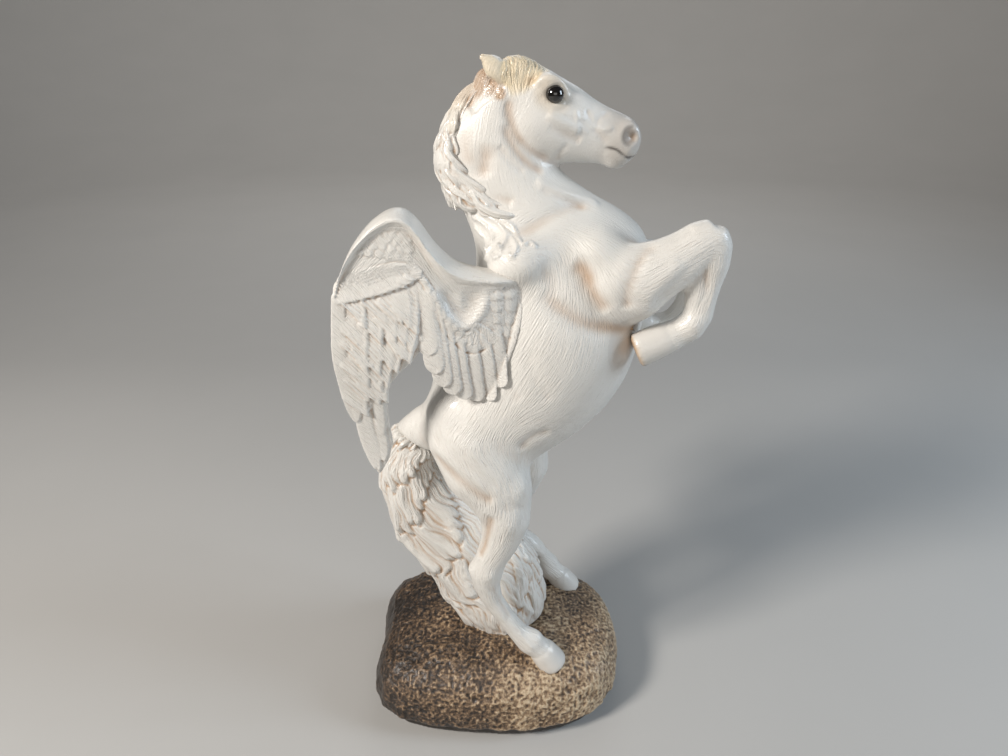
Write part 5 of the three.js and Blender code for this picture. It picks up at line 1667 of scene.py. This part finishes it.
def tail_ends(bm, layers):
    """Locks that run out on the boulder round the tail's foot."""
    t = np.linspace(0, 1, 16)
    for place in np.arange(-180, 180, 9):
        share = np.clip(0.74 + rng.uniform(-0.04, 0.04) + rng.uniform(0.2, 0.26) * t, 0, 0.99)
        turn = place + 7 * np.sin(23 * share + rng.uniform(0, 3)) + rng.uniform(-6, 6) * t
        lift = -1.0 + rng.uniform(0.6, 2.6) * t
        path = on_tail(share, turn, lift)
        out = path - on_tail(share, turn, lift - 5)
        path[:, 2] = np.maximum(path[:, 2], CROWN_HEIGHT)
        lock(bm, layers, path, out, rng.uniform(2.2, 3.2), rows=28, sides=24, flat=0.75, carved=0.15)


def tail():
    """The casting's smoothed core with locks at its foot, carved into clumps of hair."""
    bm, layers = piece_mesh()
    core = Clay(even_skin(grown_copies(("tail",), 0.0), CORE_VOXEL))
    core.smooth(1.0, CORE_ROUNDS)
    core.push(CORE_GROWTH, core.normals())
    core.write()
    bm.from_mesh(core.mesh)
    bpy.data.meshes.remove(core.mesh)
    tail_ends(bm, layers)
    clay = cast(bm, TAIL_VOXEL)
    share, turn = tail_places(clay.co)
    hair = smoothstep(0.0, 0.05, share) * smoothstep(1.0, 0.9, share)
    clay.push(clumps(share, turn) * hair, clay.normals())
    ahead = share + LOOK_AHEAD
    sway = CLUMP_TURN * (clump_lean(ahead, turn) - clump_lean(share, turn))
    clay.flow = unit(on_tail(ahead, turn - sway, 0) - on_tail(share, turn, 0) + 1e-6)
    clay.smooth(0.6, 2)
    washed_and_shaded(clay, **TAIL_WASH_AND_SHADE)
    clay.write()
    finished("tail_hair", clay.mesh, RESIN, "resin", "tail")


# Boulder, eyes, pad and pins

BOULDER_VOXEL = 0.66
BOULDER_ROUNDS = 10
# Fades on the boulder: up from the pad, up and across to its coarser right, and its darker sides, painted
# shade on the left and at the foot and painted light on the right.
PAD_Z, RIGHT_X, RIGHT_Z, LEFT_X, FOOT_Z, LIT_X = (2.5, 7), (-62, -40), (4, 14), (0, -45), (10, 3), (-10, 40)


def boulder():
    clay = Clay(even_skin(grown_copies(("rock_base",), 0.0), BOULDER_VOXEL))
    clay.smooth(1.0, BOULDER_ROUNDS)
    x, _, z = clay.co.copy().T
    normal = clay.normals()
    above = smoothstep(*PAD_Z, z) * (normal[:, 2] > -0.6)
    lumps = 0.9 * grain(clay.co, 13) + 0.5 * grain(clay.co + 40, 6)
    worms = np.clip(1 - np.abs(grain(clay.co + 90, 2.1)) * 2.6, -0.6, 1)
    grains = 0.26 * worms + 0.36 * grain(clay.co + 160, 1.5)
    right = smoothstep(*RIGHT_X, x) * smoothstep(*RIGHT_Z, z)
    coarse = 0.35 + 0.65 * right
    clay.push(above * (coarse * grains + lumps), normal)
    fine, broad = clay.recess(3, 24)
    x, _, z = clay.co.T
    shade = 0.34 * smoothstep(*LEFT_X, x) + 0.4 * smoothstep(*FOOT_Z, z) - 0.14 * smoothstep(*LIT_X, x)
    high = np.clip(0.30 - 1.7 * fine - 0.16 * broad, -0.4, 1)
    # The high attribute holds the dry-brushing and also the painted shade and light of the boulder's sides.
    clay.values["high"] = high * above - 0.3 * (1 - right) - shade
    clay.values["coarse"] = coarse
    clay.write()
    finished("boulder", clay.mesh, STONE, "stone", "rock_base")


def eyes():
    for name in ("right_eye", "left_eye"):
        low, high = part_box(name)
        bm = bmesh.new()
        bmesh.ops.create_uvsphere(bm, u_segments=48, v_segments=32, radius=(high.x - low.x) / 2)
        bmesh.ops.translate(bm, verts=bm.verts, vec=(low + high) / 2)
        finished(name + "_bead", new_mesh(name + "_bead", bm), EYE, "eye", name)


def kept_nodes():
    """The CAD pieces that are shown as they are: pins and felt pad."""
    for name, node in nodes.items():
        if name.endswith("_pin") or name == "felt_pad":
            node.data.materials.clear()
            node.data.materials.append(FELT if name == "felt_pad" else STEEL)


# Stage, in metres

FLOOR_RADIUS = 1.6  # of the flat part, and of the sweep up round it
SWEEP_STEPS = 12
# Name, place, aim, size, watts and colour.
LAMPS = [("key", (-0.66, -0.44, 0.70), (0, 0, 0.17), (0.2, 0.2), 9.7, (1.0, 0.955, 0.90)),
         ("window", (0.85, -0.12, 0.50), (0, 0, 0.17), (0.3, 0.5), 4.8, (0.74, 0.87, 1.0)),
         ("front", (0.1, -1.1, 0.45), (0, 0, 0.17), (0.8, 0.5), 1.8, (1.0, 0.97, 0.93)),
         ("back", (0.1, 0.9, 0.8), (0, 0, 0.18), (0.7, 0.5), 1.4, (0.92, 0.96, 1.0)),
         ("wall", (0.0, 0.7, 1.5), (0, 3.2, 1.0), (1.6, 0.6), 24, (1.0, 0.98, 0.95))]
SKY = (0.9, 0.93, 1.0)
SKY_STRENGTH = 0.08
# The photo's camera, worked out from the figurine's outline.
CAMERA_PLACE = (0.004, -0.273, 0.305)
CAMERA_TILT = math.radians(64)
CAMERA_LENS = 25
CAMERA_SENSOR = 36


def lamp(name, spot, aim, size, power, colour):
    light = bpy.data.lights.new(name, "AREA")
    light.shape = "RECTANGLE"
    light.size, light.size_y = size
    light.energy = power
    light.color = colour
    obj = bpy.data.objects.new(name, light)
    obj.location = spot
    obj.rotation_euler = (Vector(aim) - Vector(spot)).to_track_quat("-Z", "Y").to_euler()
    scene.collection.objects.link(obj)


def floor_sheet():
    """A pale sheet that lies flat round the figurine and sweeps up far behind it on every side."""
    bm = bmesh.new()
    bmesh.ops.create_circle(bm, cap_ends=True, segments=96, radius=FLOOR_RADIUS)
    rim = [e for e in bm.edges if e.is_boundary]
    for k in range(1, SWEEP_STEPS + 1):
        a = math.pi / 2 * k / SWEEP_STEPS
        made = bmesh.ops.extrude_edge_only(bm, edges=rim)
        rim = [e for e in made["geom"] if isinstance(e, bmesh.types.BMEdge)]
        for v in new_verts(made):
            x, y = unit((v.co.x, v.co.y)) * FLOOR_RADIUS * (1 + math.sin(a))
            v.co = Vector((x, y, FLOOR_RADIUS * (1 - math.cos(a))))
    bmesh.ops.recalc_face_normals(bm, faces=bm.faces)
    mesh = new_mesh("floor", bm)
    mesh.polygons.foreach_set("use_smooth", np.ones(len(mesh.polygons), bool))
    mesh.materials.append(floor_material())
    floor = bpy.data.objects.new("floor", mesh)
    scene.collection.objects.link(floor)


def sky():
    world = bpy.data.worlds.new("studio")
    world.use_nodes = True
    background = world.node_tree.nodes["Background"]
    background.inputs["Color"].default_value = (*SKY, 1)
    background.inputs["Strength"].default_value = SKY_STRENGTH
    scene.world = world


def camera():
    eye = bpy.data.cameras.new("camera")
    eye.sensor_width = CAMERA_SENSOR
    eye.lens = CAMERA_LENS
    eye.clip_start = 0.01
    view = bpy.data.objects.new("camera", eye)
    view.location = CAMERA_PLACE
    view.rotation_euler = (CAMERA_TILT, 0, 0)
    scene.collection.objects.link(view)
    scene.camera = view
    scene.view_settings.view_transform = "Standard"


def stage():
    floor_sheet()
    for row in LAMPS:
        lamp(*row)
    sky()
    camera()


body = sculpt_body()
skin = neck_skin(body)
divide_body(body)
wings()
tail()
mane(skin)
boulder()
eyes()
kept_nodes()
stage()
